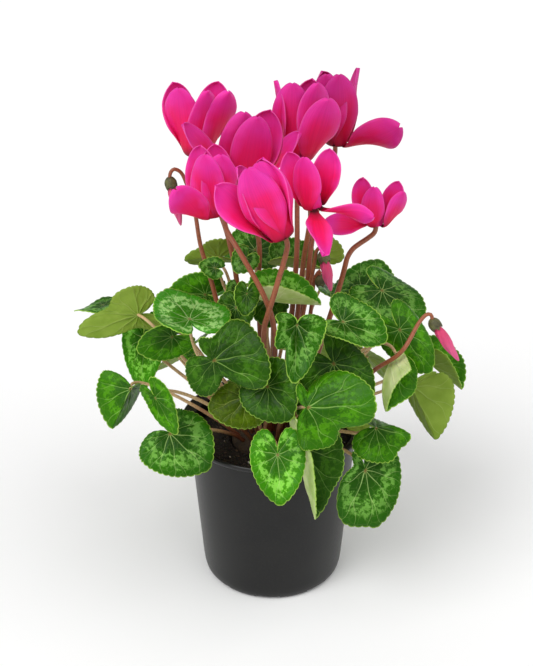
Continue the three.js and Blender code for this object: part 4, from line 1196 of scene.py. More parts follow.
@dataclass(frozen=True)
class LeafFinish:
    """Waxy cyclamen leaf, upper face: a smooth cuticle gives the eye a soft shine over a marbled green."""

    name: str
    centre: str
    outer: str
    wreath: str
    amount: float
    vein: str
    vein_amount: float = 0.68
    margin: str = "a4c860"
    margin_width: float = 0.9
    joint: str = "6a3f24"
    patch: float = 2.8
    rays: float = 26.0
    net: float = 2.2
    net_amount: float = 0.08
    stray: float = 1.5
    drift: float = 25.0
    grain: float = 1.2
    saturation: float = 1.08

    def material(self) -> bpy.types.Material:
        """Returns the leaf's material, drawn round the joint by the blade's own places."""
        material, tree, shader = new_material(self.name)
        turn, share, at, seed, span = pattern_places(tree, "seed", "span")
        line = vein_mask(tree, turn, share, seed, 0.032, 0.011)
        net = self.net_mask(tree, at)
        faint = put(tree, MATH, {0: net, 1: self.net_amount}, operation="MULTIPLY")
        out = put(tree, RANGE, {"Value": share, "From Min": 0.2, "From Max": 0.85},
                  interpolation_type="SMOOTHSTEP")
        strong = put(tree, RANGE, {"Value": share, "To Min": self.vein_amount,
                                   "To Max": self.vein_amount / 2})
        shown = put(tree, MATH, {0: line, 1: strong}, operation="MULTIPLY")
        inward = put(tree, MATH, {0: 1.0, 1: share}, operation="SUBTRACT")
        inward = put(tree, MATH, {0: inward, 1: span}, operation="MULTIPLY")
        margin = put(tree, RANGE, {"Value": inward, "From Min": 0.3, "From Max": self.margin_width,
                                   "To Min": 0.8, "To Max": 0.0})
        spot = put(tree, RANGE, {"Value": share, "From Min": 0.02, "From Max": 0.07, "To Min": 0.8,
                                 "To Max": 0.0})
        colour = linear(self.centre)
        wreath = self.wreath_mask(tree, turn, share, at, seed)
        for mask, code in ((out, self.outer), (faint, self.vein), (wreath, self.wreath), (shown, self.vein),
                           (margin, self.margin), (spot, self.joint)):
            colour = put(tree, MIX, {MIX_BY: mask, MIX_A: colour, MIX_B: linear(code)}, data_type="RGBA")
        drift = put(tree, NOISE, {"Vector": at, "Scale": per_mm(self.drift), "Detail": 2.0})
        value = put(tree, RANGE, {"Value": drift, "From Min": 0.3, "From Max": 0.7, "To Min": 0.75,
                                  "To Max": 1.25})
        colour = put(tree, "ShaderNodeHueSaturation", {"Color": colour, "Value": value,
                                                       "Saturation": self.saturation})
        grain = put(tree, NOISE, {"Vector": at, "Scale": per_mm(self.grain), "Detail": 2.0})
        rough = put(tree, RANGE, {"Value": grain, "To Min": 0.28, "To Max": 0.42})
        sunk = put(tree, MATH, {0: line, 1: -0.8, 2: net}, operation="MULTIPLY_ADD")
        sunk = put(tree, MATH, {0: sunk, 1: -1.0, 2: grain}, operation="MULTIPLY_ADD")
        surface(tree, shader, colour, rough, sunk, 0.15, 0.5, specular=0.13,
                glow=Glow(0.08, (0.5, 1.0, 0.1), 1.5))
        return material

    def net_mask(self, tree: bpy.types.NodeTree, at: bpy.types.NodeSocket) -> bpy.types.Node:
        """Returns the node that is 1 on the net of fine veins, whose lines stray a little."""
        waver = put(tree, NOISE, {"Vector": at, "Scale": per_mm(2 * self.stray), "Detail": 1.0})
        astray = put(tree, "ShaderNodeVectorMath", {0: waver.outputs["Color"], 1: (self.stray * METRE,) * 3,
                                                    2: at}, operation="MULTIPLY_ADD")
        cells = put(tree, "ShaderNodeTexVoronoi", {"Vector": astray, "Scale": per_mm(2 * self.net)},
                    feature="DISTANCE_TO_EDGE")
        return put(tree, RANGE, {"Value": cells.outputs["Distance"], "From Max": 0.07, "To Min": 1.0,
                                 "To Max": 0.0})

    def wreath_mask(
        self, tree: bpy.types.NodeTree, turn: bpy.types.NodeSocket, share: bpy.types.NodeSocket,
        at: bpy.types.NodeSocket, seed: bpy.types.NodeSocket,
    ) -> bpy.types.Node:
        """Draws the wreath: a ring with ragged rays inside and outside, broken into blots.

        Args:
            tree: the material's tree.
            turn: share of a turn round the joint.
            share: share of the way out to the edge.
            at: the place in space.
            seed: the leaf's number.

        Returns:
            The node that is high where the wreath is.
        """
        spread = put(tree, MATH, {0: turn, 1: self.rays}, operation="MULTIPLY")
        outward = put(tree, MATH, {0: share, 1: 3.0}, operation="MULTIPLY")
        rays = put(tree, "ShaderNodeCombineXYZ", {"X": spread, "Y": outward, "Z": seed})
        rays = put(tree, NOISE, {"Vector": rays, "Scale": 1.0, "Detail": 4.0, "Roughness": 0.7})
        ragged = put(tree, MATH, {0: rays, 1: 0.7, 2: share}, operation="MULTIPLY_ADD")
        inner = put(tree, RANGE, {"Value": ragged, "From Min": 0.8, "From Max": 0.86},
                    interpolation_type="SMOOTHSTEP")
        rim = put(tree, RANGE, {"Value": ragged, "From Min": 1.1, "From Max": 1.2, "To Min": 1.0,
                                "To Max": 0.0}, interpolation_type="SMOOTHSTEP")
        blots = put(tree, NOISE, {"Vector": at, "Scale": per_mm(self.patch), "Detail": 4.0,
                                  "Roughness": 0.6})
        wreath = put(tree, RANGE, {"Value": blots, "From Min": 0.45, "From Max": 0.53, "To Min": 0.08})
        for mask in (inner, rim, self.amount):
            wreath = put(tree, MATH, {0: wreath, 1: mask}, operation="MULTIPLY")
        return wreath


@dataclass(frozen=True)
class UndersideFinish:
    """Leaf underside: a dull pale green without wax, where the ribs stand out lighter."""

    name: str
    base: str
    pale: str
    rib: str
    rib_amount: float = 0.3
    cloud: float = 14.0
    grain: float = 1.2

    def material(self) -> bpy.types.Material:
        """Returns the underside's material."""
        material, tree, shader = new_material(self.name)
        turn, share, at, seed = pattern_places(tree, "seed")
        line = vein_mask(tree, turn, share, seed, 0.04, 0.018)
        cloud = put(tree, NOISE, {"Vector": at, "Scale": per_mm(self.cloud), "Detail": 3.0})
        cloud = put(tree, RANGE, {"Value": cloud, "From Min": 0.35, "From Max": 0.65})
        shown = put(tree, MATH, {0: line, 1: self.rib_amount}, operation="MULTIPLY")
        colour = linear(self.base)
        for mask, code in ((cloud, self.pale), (shown, self.rib)):
            colour = put(tree, MIX, {MIX_BY: mask, MIX_A: colour, MIX_B: linear(code)}, data_type="RGBA")
        grain = put(tree, NOISE, {"Vector": at, "Scale": per_mm(self.grain), "Detail": 2.0})
        height = put(tree, MATH, {0: line, 1: 2.0, 2: grain}, operation="MULTIPLY_ADD")
        surface(tree, shader, colour, 0.6, height, 0.2, 0.5, specular=0.25,
                glow=Glow(0.12, (0.6, 1.0, 0.2), 1.5))
        return material


@dataclass(frozen=True)
class PetalFinish:
    """Thin silky petal: cells that scatter light give a glowing pink, and fine ribs a faint streak."""

    name: str = "petal_silky"
    mouth: str = "4a0818"
    base: str = "b00838"
    heart: str = "e81050"
    body: str = "f01c6e"
    tip: str = "e8309c"
    flush: str = "f23fae"
    # Painted highlight: the pale pink of the thin line along each petal's side edges.
    edge: str = "f88cc0"
    cloud: float = 14.0
    patch: float = 9.0
    ribs: float = 60.0

    def material(self) -> bpy.types.Material:
        """Returns the petal's material, drawn by the places across and along the petal."""
        material, tree, shader = new_material(self.name)
        across, along, at, seed, shade = pattern_places(tree, "seed", "shade")
        cloud = put(tree, NOISE, {"Vector": at, "Scale": per_mm(self.cloud), "Detail": 2.0})
        shifted = put(tree, MATH, {0: cloud, 1: 0.3, 2: along}, operation="MULTIPLY_ADD")
        colour = put(tree, "ShaderNodeValToRGB", {"Fac": shifted})
        stops = colour.color_ramp.elements
        stops[0].position, stops[0].color = 0.17, linear(self.mouth)
        stops[1].position, stops[1].color = 0.25, linear(self.base)
        for spot, code in ((0.42, self.heart), (0.75, self.body), (1.0, self.tip)):
            stops.new(spot).color = linear(code)
        off = put(tree, MATH, {0: across, 1: 0.5}, operation="SUBTRACT")
        off = put(tree, MATH, {0: off}, operation="ABSOLUTE")
        # Painted highlight: a thin pale line along both side edges of the petal.
        edge = put(tree, RANGE, {"Value": off, "From Min": 0.46, "From Max": 0.5, "To Max": 0.25})
        patch = put(tree, NOISE, {"Vector": at, "Scale": per_mm(self.patch), "Detail": 1.0})
        rim = put(tree, MATH, {0: patch, 1: 0.4, 2: off}, operation="MULTIPLY_ADD")
        rim = put(tree, RANGE, {"Value": rim, "From Min": 0.42, "From Max": 0.72, "To Max": 0.75})
        late = put(tree, RANGE, {"Value": along, "From Min": 0.12, "From Max": 0.45})
        for mask, code in ((rim, self.flush), (edge, self.edge)):
            mask = put(tree, MATH, {0: mask, 1: late}, operation="MULTIPLY")
            colour = put(tree, MIX, {MIX_BY: mask, MIX_A: colour, MIX_B: linear(code)}, data_type="RGBA")
        wide = put(tree, MATH, {0: across, 1: self.ribs}, operation="MULTIPLY")
        streak = put(tree, "ShaderNodeCombineXYZ", {"X": wide, "Y": along, "Z": seed})
        streak = put(tree, NOISE, {"Vector": streak, "Scale": 1.0, "Detail": 2.0})
        value = put(tree, RANGE, {"Value": streak, "From Min": 0.3, "From Max": 0.7, "To Min": 0.93,
                                  "To Max": 1.06})
        # Painted shade: the shade mark darkens the petals of the blooms that stand in shade.
        value = put(tree, MATH, {0: value, 1: shade}, operation="MULTIPLY")
        colour = put(tree, "ShaderNodeHueSaturation", {"Color": colour, "Value": value})
        surface(tree, shader, colour, 0.5, streak, 0.12, 0.3, specular=0.15,
                glow=Glow(0.25, (1.0, 0.1, 0.35), 2.5))
        return material


@dataclass(frozen=True)
class SkinFinish:
    """Plant skin, bark or soil: two colours in clouds, with darker specks and a fine grain."""

    name: str
    low: str
    high: str
    speck: str
    cloud: float
    fleck: float
    rough: float
    depth: float
    gradient: bool = False
    speck_amount: float = 0.5
    specular: float = 0.5

    def material(self) -> bpy.types.Material:
        """Returns the material; with a gradient the colours run from the base to the top of a stalk."""
        material, tree, shader = new_material(self.name)
        at = put(tree, "ShaderNodeTexCoord").outputs["Object"]
        by = put(tree, NOISE, {"Vector": at, "Scale": per_mm(self.cloud), "Detail": 4.0})
        if self.gradient:
            along = put(tree, "ShaderNodeAttribute", attribute_name=ALONG).outputs["Fac"]
            by = put(tree, MATH, {0: by, 1: 0.5, 2: along}, operation="MULTIPLY_ADD")
            by = put(tree, RANGE, {"Value": by, "From Min": 0.2, "From Max": 0.9},
                     interpolation_type="SMOOTHSTEP")
        else:
            by = put(tree, RANGE, {"Value": by, "From Min": 0.35, "From Max": 0.65})
        fleck = put(tree, NOISE, {"Vector": at, "Scale": per_mm(self.fleck), "Detail": 2.0})
        specks = put(tree, RANGE, {"Value": fleck, "From Min": 0.52, "From Max": 0.66,
                                   "To Max": self.speck_amount})
        colour = linear(self.low)
        for mask, code in ((by, self.high), (specks, self.speck)):
            colour = put(tree, MIX, {MIX_BY: mask, MIX_A: colour, MIX_B: linear(code)}, data_type="RGBA")
        rough = put(tree, RANGE, {"Value": fleck, "To Min": self.rough - 0.08, "To Max": self.rough + 0.08})
        surface(tree, shader, colour, rough, fleck, self.depth, 0.6, specular=self.specular)
        return material


class Finishes:
    """Every material of the plant and the pot, made once."""

    def __init__(self) -> None:
        """Makes the materials."""
        self.leaf = {
            tone: LeafFinish("leaf_waxy_" + tone.name.lower(), centre, outer, wreath, amount, vein).material()
            for tone, centre, outer, wreath, amount, vein in (
                (LeafTone.LIME, "296003", "377c0d", "8ccb5c", 0.8, "b2d083"),
                (LeafTone.SILVER, "1f4808", "2c6012", "7db057", 0.65, "b2d083"),
                (LeafTone.DEEP, "1e4205", "28510a", "54852f", 0.4, "94b866"),
                (LeafTone.FRESH, "265803", "336d08", "68a839", 0.45, "a4c874"),
                (LeafTone.PALE, "34701a", "438a2a", "a6d684", 0.85, "c6e0a0"),
                (LeafTone.OLIVE, "3a5206", "475f0e", "6f8c30", 0.35, "a6b264"),
            )
        }
        self.underside = UndersideFinish("leaf_underside_matte", "728e26", "86a03a", "a3b662").material()
        # Painted light: where low light strikes the wax-free underside, a lighter, almost cream copy of its
        # colours is drawn.
        self.underside_painted_lit = UndersideFinish("leaf_underside_cream", "adc96c", "dae6a8", "e4ecba").material()
        self.petal = PetalFinish().material()
        # Unopened petals show their duller outer face.
        self.rolled = PetalFinish(
            "petal_rolled", "8a2048", "b42c58", "d03a66", "d84c78", "dc6290", "f0a8c6"
        ).material()
        # Living stalk skin is smooth and a little moist, so it shines softly. Its hairs are finer than a
        # pixel, so the specks are drawn as coarse as 1.2 mm to show.
        self.leaf_stalk = SkinFinish("leaf_stalk_skin", "84462f", "d6b585", "6b3526", 10, 1.2, 0.42, 0.15,
                                     gradient=True, speck_amount=0.3).material()
        self.flower_stalk = SkinFinish("flower_stalk_skin", "763a22", "9a5636", "55281a", 8, 1.2, 0.42, 0.15,
                                       gradient=True, speck_amount=0.45).material()
        # Calyx skin is felted, so it is dull.
        self.calyx = SkinFinish("calyx_felted", "3d3a26", "66683a", "2e2118", 3, 0.9, 0.6, 0.15).material()
        # The throat is velvety: it swallows the light behind the mouth.
        self.throat = SkinFinish("throat_velvet", "3d0a20", "6a0f30", "2a0614", 3, 0.9, 0.55, 0.1).material()
        # The tuber's cork is dull and rough.
        self.cork = SkinFinish("tuber_cork", "2a1d13", "44321f", "1a120b", 6, 1.5, 0.85, 0.5).material()
        # Moist peat is nearly black and dull, with crumbs of a few millimetres.
        self.peat = SkinFinish("soil_peat", "120e0a", "2a2018", "3b3026", 5, 1.4, 0.9, 0.8,
                               specular=0.3).material()
        # Injection-moulded polypropylene is a satin charcoal: it mirrors light softly under a faint dust.
        self.plastic = SkinFinish("pot_polypropylene_moulded", "0e0e0e", "131312", "32312f", 25, 1.3, 0.36,
                                  0.03, speck_amount=0.12, specular=0.3).material()


# Pieces


@dataclass
class Foliage:
    """All leaves: one piece for each node, with its blades and their stalks."""

    stems: dict[str, Stem]
    finishes: Finishes
    maker: StalkMaker
    blades: Blades = field(default_factory=Blades)
    sink: float = 0.45

    def build(self) -> list[bpy.types.Object]:
        """Builds the pieces and returns them."""
        groups: dict[str, list[Leaf]] = {}
        for leaf in LEAVES:
            groups.setdefault(leaf.node or leaf.name, []).append(leaf)
        made = []
        for node, leaves in groups.items():
            pieces = [
                mesh_object(leaf.name + "_blade", self.blades.skin(leaf), self.faces(leaf), seed=leaf.seed,
                            span=leaf.size)
                for leaf in leaves
            ]
            paths = [self.path(leaf) for leaf in leaves]
            pieces.append(self.maker.make(node + "_stalks", paths, LEAF_STALK, self.finishes.leaf_stalk))
            piece = joined_objects(node + "_look", pieces)
            made.append(dressed(piece, "leaf", node))
        return made

    def faces(self, leaf: Leaf) -> list[bpy.types.Material]:
        """Returns the materials of a leaf's upper face and of its underside."""
        # The undersides that low light strikes take the lighter copy, which is painted light.
        below = self.finishes.underside_painted_lit if leaf.name in PAINTED_LIGHT_BELOW else self.finishes.underside
        return [self.finishes.leaf[leaf.tone], below]

    def path(self, leaf: Leaf) -> Array:
        """Returns a leaf stalk's way, from inside the tuber to just under the blade's upper face."""
        path = self.stems[leaf.name].path.copy()
        path[-1] -= leaf.axes()[2] * self.sink
        return rooted(path)


@dataclass(frozen=True)
class Calyx:
    """A cap whose rim is drawn down to five pointed sepals: its profile from the rim, the sepals' length, how
    they taper and how far they stand off."""

    profile: Profile
    sepal: float
    taper: float
    flare: float
    sides: int = 40

    def skin(self, at: Array, up: Array) -> Skin:
        """Returns the cap's closed surface, stood on a point along an axis."""

        def drawn(ring: Array, share: float) -> Array:
            """Draws the rim down to a point at each sepal."""
            near = 1 - 2 * share
            if len(ring) == 1 or near < 0:
                return ring
            angle = np.arctan2(ring[:, 1], ring[:, 0])
            point = near * (1 - np.abs(np.sin(PETALS / 2 * angle))) ** self.taper
            ring = ring.copy()
            ring[:, 2] -= self.sepal * point
            ring[:, :2] *= (1 + self.flare * point)[:, None]
            return ring

        return moved(lathe(self.profile, self.sides, warp=drawn), at, up)


@dataclass
class Blossom:
    """The open blooms: five swept-back petals on a short tube, and the hooked stalk with its calyx."""

    stems: dict[str, Stem]
    finishes: Finishes
    maker: StalkMaker
    rows: int = 34
    columns: int = 14
    thickness: float = 0.5
    ruffle: float = 0.5
    crease: float = 0.5
    crease_width: float = 0.12
    roll: float = 0.14
    roll_rows: int = 8
    tip_rows: tuple[float, ...] = (0.985, 0.996, 1.0)
    tube_sides: int = 30
    tube_profile: Profile = (
        (0, 6.5), (1.4, 5.2), (2.7, 3), (3.7, 0.4), (4.1, -0.5), (4.7, -0.75), (5.2, -0.5), (5.2, 0.4),
        (5, 2), (4.7, 4.5), (4.3, TUBE_DEPTH), (0, TUBE_DEPTH),
    )
    calyx: Calyx = Calyx(
        ((0, 8.6), (4.35, 8.0), (4.75, 8.1), (4.6, 9.4), (3.9, 10.6), (2.6, 11.5), (1.2, 11.9), (0, 12)),
        sepal=3.4, taper=0.8, flare=0.06,
    )

    def petal(self, bloom: Bloom, k: int) -> Skin:
        """Builds one petal and returns its closed surface, placed across and along."""
        start = np.linspace(0, self.roll, self.roll_rows)
        rest = np.linspace(self.roll, 1, self.rows - self.roll_rows + 1)[1:-1]
        shares = np.concatenate([start, rest, self.tip_rows])
        last = len(shares) - 1
        wide = np.linspace(-1, 1, self.columns + 1)
        t, across = (g.ravel() for g in np.meshgrid(shares[:-1], wide, indexing="ij"))
        wave = np.sin(9 * t + 2 * k + bloom.petal) * np.abs(across) ** 3 * smooth(t, 0.15, 0.5)
        crease = -self.crease * np.exp(-((across / self.crease_width) ** 2)) * smooth(t, 0.1, 0.3) * (1 - t)
        lift = self.ruffle * wave + crease
        points = np.concatenate([bloom.points(k, t, across, lift), bloom.points(k, vec(1), vec(0), vec(0))])
        faces, places = [], []
        width = self.columns + 1
        tip = last * width
        for i in range(last):
            for j in range(self.columns):
                a = i * width + j
                u, w = j / self.columns, (j + 1) / self.columns
                s, e = shares[i], shares[i + 1]
                if i == last - 1:
                    faces.append((a, a + 1, tip))
                    places.append(((u, s), (w, s), (0.5, e)))
                else:
                    faces.append((a, a + 1, a + 1 + width, a + width))
                    places.append(((u, s), (w, s), (w, e), (u, e)))
        border = list(range(width)) + [(i + 1) * width - 1 for i in range(1, last)] + [tip]
        border += [i * width for i in range(last - 1, 0, -1)]
        spots = [(j / self.columns, 0.0) for j in range(width)] + [(1.0, shares[i]) for i in range(1, last)]
        spots += [(0.5, 1.0)] + [(0.0, shares[i]) for i in range(last - 1, 0, -1)] + [(0.0, 0.0)]
        skin = thickened(points, faces, places, border, spots, self.thickness)
        skin.finishes = [0] * len(skin.faces)
        return skin

    def tube(self, bloom: Bloom) -> Skin:
        """Returns the short tube behind the mouth, dark inside and petal-coloured outside."""
        throat = lathe(self.tube_profile, self.tube_sides, [1] * 6 + [2] * 5)
        return moved(throat, vec(*bloom.at), bloom.axes()[2])

    def build(self) -> list[bpy.types.Object]:
        """Builds the blooms and their stalks and returns the pieces."""
        made = []
        for n, bloom in enumerate(BLOOMS):
            skins = [self.petal(bloom, k) for k in range(PETALS)] + [self.tube(bloom)]
            # A bloom that stands in shade gets a shade mark below 1, which is painted shade.
            bell = mesh_object("bloom_" + bloom.name + "_look", joined(skins),
                               [self.finishes.petal, self.finishes.throat, self.finishes.petal],
                               seed=3.1 * n, shade=PAINTED_SHADES.get(bloom.name, 1.0))
            made.append(dressed(bell, "petal", "bloom_" + bloom.name))
            path = self.stems["stalk_" + bloom.name].path
            stalk = self.maker.make("stalk_" + bloom.name + "_tube", [rooted(path)], FLOWER_STALK,
                                    self.finishes.flower_stalk)
            cap = mesh_object("calyx_" + bloom.name, self.calyx.skin(vec(*bloom.at), bloom.axes()[2]),
                              [self.finishes.calyx])
            piece = joined_objects("stalk_" + bloom.name + "_look", [stalk, cap])
            made.append(dressed(piece, "stalk", "stalk_" + bloom.name))
        return made


@dataclass
class Nodding:
    """The buds: rolled petals twisted to a point under a calyx of five sepals."""

    stems: dict[str, Stem]
    finishes: Finishes
    maker: StalkMaker
    rows: int = 36
    sides: int = 50
    turn: float = 140.0
    neck: float = 4.3
    tip: float = 0.2
    lap: float = 0.18
    lap_depth: float = 0.22
    outline: Profile = (
        (0, 1.8), (0.02, 2), (0.1, 2.9), (0.2, 3.4), (0.35, 3.55), (0.5, 3.4), (0.65, 2.8), (0.8, 2.05),
        (0.92, 1.25), (1, 0.5),
    )
    calyx: Calyx = Calyx(
        ((0, -4.2), (3.1, -4.4), (3.6, -4.2), (3.8, -3), (3.7, -1.6), (3.1, -0.2), (2.2, 0.9), (1.2, 1.5),
         (0, 1.6)),
        sepal=2.6, taper=1.0, flare=0.0,
    )

    def petals(self, bud: Bud) -> Skin:
        """Builds the rolled petals and returns their closed surface."""
        t = np.linspace(0.0, 1.0, self.rows)
        radius = np.interp(t, *np.transpose(self.outline))
        top, tip = -self.neck, -self.neck - bud.petal - self.tip
        profile = [(0, top), *((r, top - bud.petal * s) for r, s in zip(radius, t)), (0, tip)]

        def rolled(ring: Array, share: float) -> Array:
            """Turns a round ring into five petals that overlap like tiles."""
            if len(ring) == 1:
                return ring
            angle = np.arctan2(ring[:, 1], ring[:, 0]) + math.radians(self.turn) * share
            step = (angle * PETALS / FULL_TURN) % 1
            ring = ring.copy()
            edge = np.minimum(step / (1 - self.lap), (1 - step) / self.lap)
            ring[:, :2] *= (1 - self.lap_depth + self.lap_depth * edge)[:, None]
            return ring

        skin = lathe(profile[::-1], self.sides, warp=lambda ring, share: rolled(ring, 1 - share))
        for i, places in enumerate(skin.places):
            skin.places[i] = tuple((0.5, 0.5 + 0.4 * (1 - v)) for _, v in places)
        return moved(skin, vec(*bud.at), -unit(vec(*bud.point)))

    def build(self) -> list[bpy.types.Object]:
        """Builds the buds and their stalks and returns the pieces."""
        made = []
        for bud in BUDS:
            path = rooted(self.stems["stalk_bud_" + bud.name].path)
            stalk = self.maker.make("stalk_bud_" + bud.name + "_tube", [path], BUD_STALK,
                                    self.finishes.flower_stalk)
            cap = mesh_object("calyx_bud_" + bud.name, self.calyx.skin(vec(*bud.at), -unit(vec(*bud.point))),
                              [self.finishes.calyx])
            if bud.name == GREEN_BUD:
                piece = joined_objects("bud_green_look", [stalk, cap])
                made.append(dressed(piece, "young_bud", "bud_green"))
                continue
            piece = joined_objects("stalk_bud_" + bud.name + "_look", [stalk, cap])
            made.append(dressed(piece, "stalk", "stalk_bud_" + bud.name))
            rolled = mesh_object("bud_" + bud.name + "_look", self.petals(bud), [self.finishes.rolled],
                                 seed=0, shade=1.0)
            made.append(dressed(rolled, "bud_petal", "bud_" + bud.name))
        return made


def rooted(path: Array, sink: float = 1.5) -> Array:
    """Returns a stalk's way with its base set into the tuber."""
    return np.concatenate([[path[0] - unit(path[1] - path[0]) * sink], path])


def dressed(piece: bpy.types.Object, slot: str, *nodes: str) -> bpy.types.Object:
    """Lets a piece ride on the part and stand for its nodes.

    Args:
        piece: the piece.
        slot: the record's slot; it is not used.
        nodes: the nodes that it replaces.

    Returns:
        The piece.
    """
    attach(piece, ROOT)
    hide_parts(*nodes)
    return piece


@dataclass
class Pot:
    """The nursery pot: thin tapered wall, flared rim, eight channels and four holes in its base."""

    finishes: Finishes
    sides: int = 144
    channels: int = 8
    channel_length: float = 24.0
    channel_width: float = 16.0
    channel_height: float = 2.4
    channel_ring: float = 44.0
    channel_turn: float = -94.0
    holes: int = 4
    hole_ring: float = 26.0
    hole_radius: float = 3.0
    hole_sides: int = 24
    sharp_from: float = 35.0
    profile: Profile = (
        (0, 0), (42.4, 0), (43.6, 0.3), (44.7, 1.2), (45.8, 3), (46.5, 6), (47, 10), (50.8, 58), (54.5, 106),
        (56.6, 107), (58.2, 107.8), (59.4, 109), (60, 110.4), (59.9, 111.4), (59.4, 111.9), (58.8, 112),
        (58.3, 111.7), (57.8, 111), (55.6, 109.2), (53.1, 108), (49.2, 58), (45.6, 10), (44.4, 6.8),
        (41.6, 4.4), (0, 4.4),
    )

    def cutter(self) -> bpy.types.Object:
        """Returns one object that holds the channels and the holes."""
        skins = []
        for i in range(self.channels):
            skins.append(self.block(self.channel_turn + 360 * i / self.channels))
        for i in range(self.holes):
            angle = math.radians(self.channel_turn + 360 * (i + 0.5) / self.holes)
            pin = lathe([(0, -12), (self.hole_radius, -12), (self.hole_radius, 12), (0, 12)], self.hole_sides)
            skins.append(moved(pin, vec(math.cos(angle), math.sin(angle), 0) * self.hole_ring, vec(0, 0, 1)))
        return mesh_object("pot_cutter", joined(skins), [self.finishes.plastic])

    def block(self, angle: float) -> Skin:
        """Returns the box that cuts one channel across the wall's foot, at an angle round the pot."""
        corners = np.array([(x, y, z) for z in (-0.5, 0.5) for y in (-0.5, 0.5) for x in (-0.5, 0.5)])
        corners = corners * vec(self.channel_length, self.channel_width, 2 * self.channel_height)
        corners += vec(self.channel_ring, 0, 0)
        c, s = math.cos(math.radians(angle)), math.sin(math.radians(angle))
        skin = Skin(corners @ np.array([[c, s, 0], [-s, c, 0], [0, 0, 1]]))
        for face in ((0, 2, 3, 1), (4, 5, 7, 6), (0, 1, 5, 4), (2, 6, 7, 3), (0, 4, 6, 2), (1, 3, 7, 5)):
            skin.face(face, ((0, 0), (1, 0), (1, 1), (0, 1)), 0)
        return skin

    def build(self) -> list[bpy.types.Object]:
        """Builds the pot and returns it."""
        pot = mesh_object("pot_look", lathe(self.profile, self.sides), [self.finishes.plastic])
        cutter = self.cutter()
        cut = pot.modifiers.new("feet", "BOOLEAN")
        cut.operation = "DIFFERENCE"
        cut.solver = "EXACT"
        cut.object = cutter
        plain_mesh(pot)
        bpy.data.objects.remove(cutter)
        pot.data.polygons.foreach_set("use_smooth", np.ones(len(pot.data.polygons), bool))
        pot.data.set_sharp_from_angle(angle=math.radians(self.sharp_from))
        return [dressed(pot, "pot", "pot")]


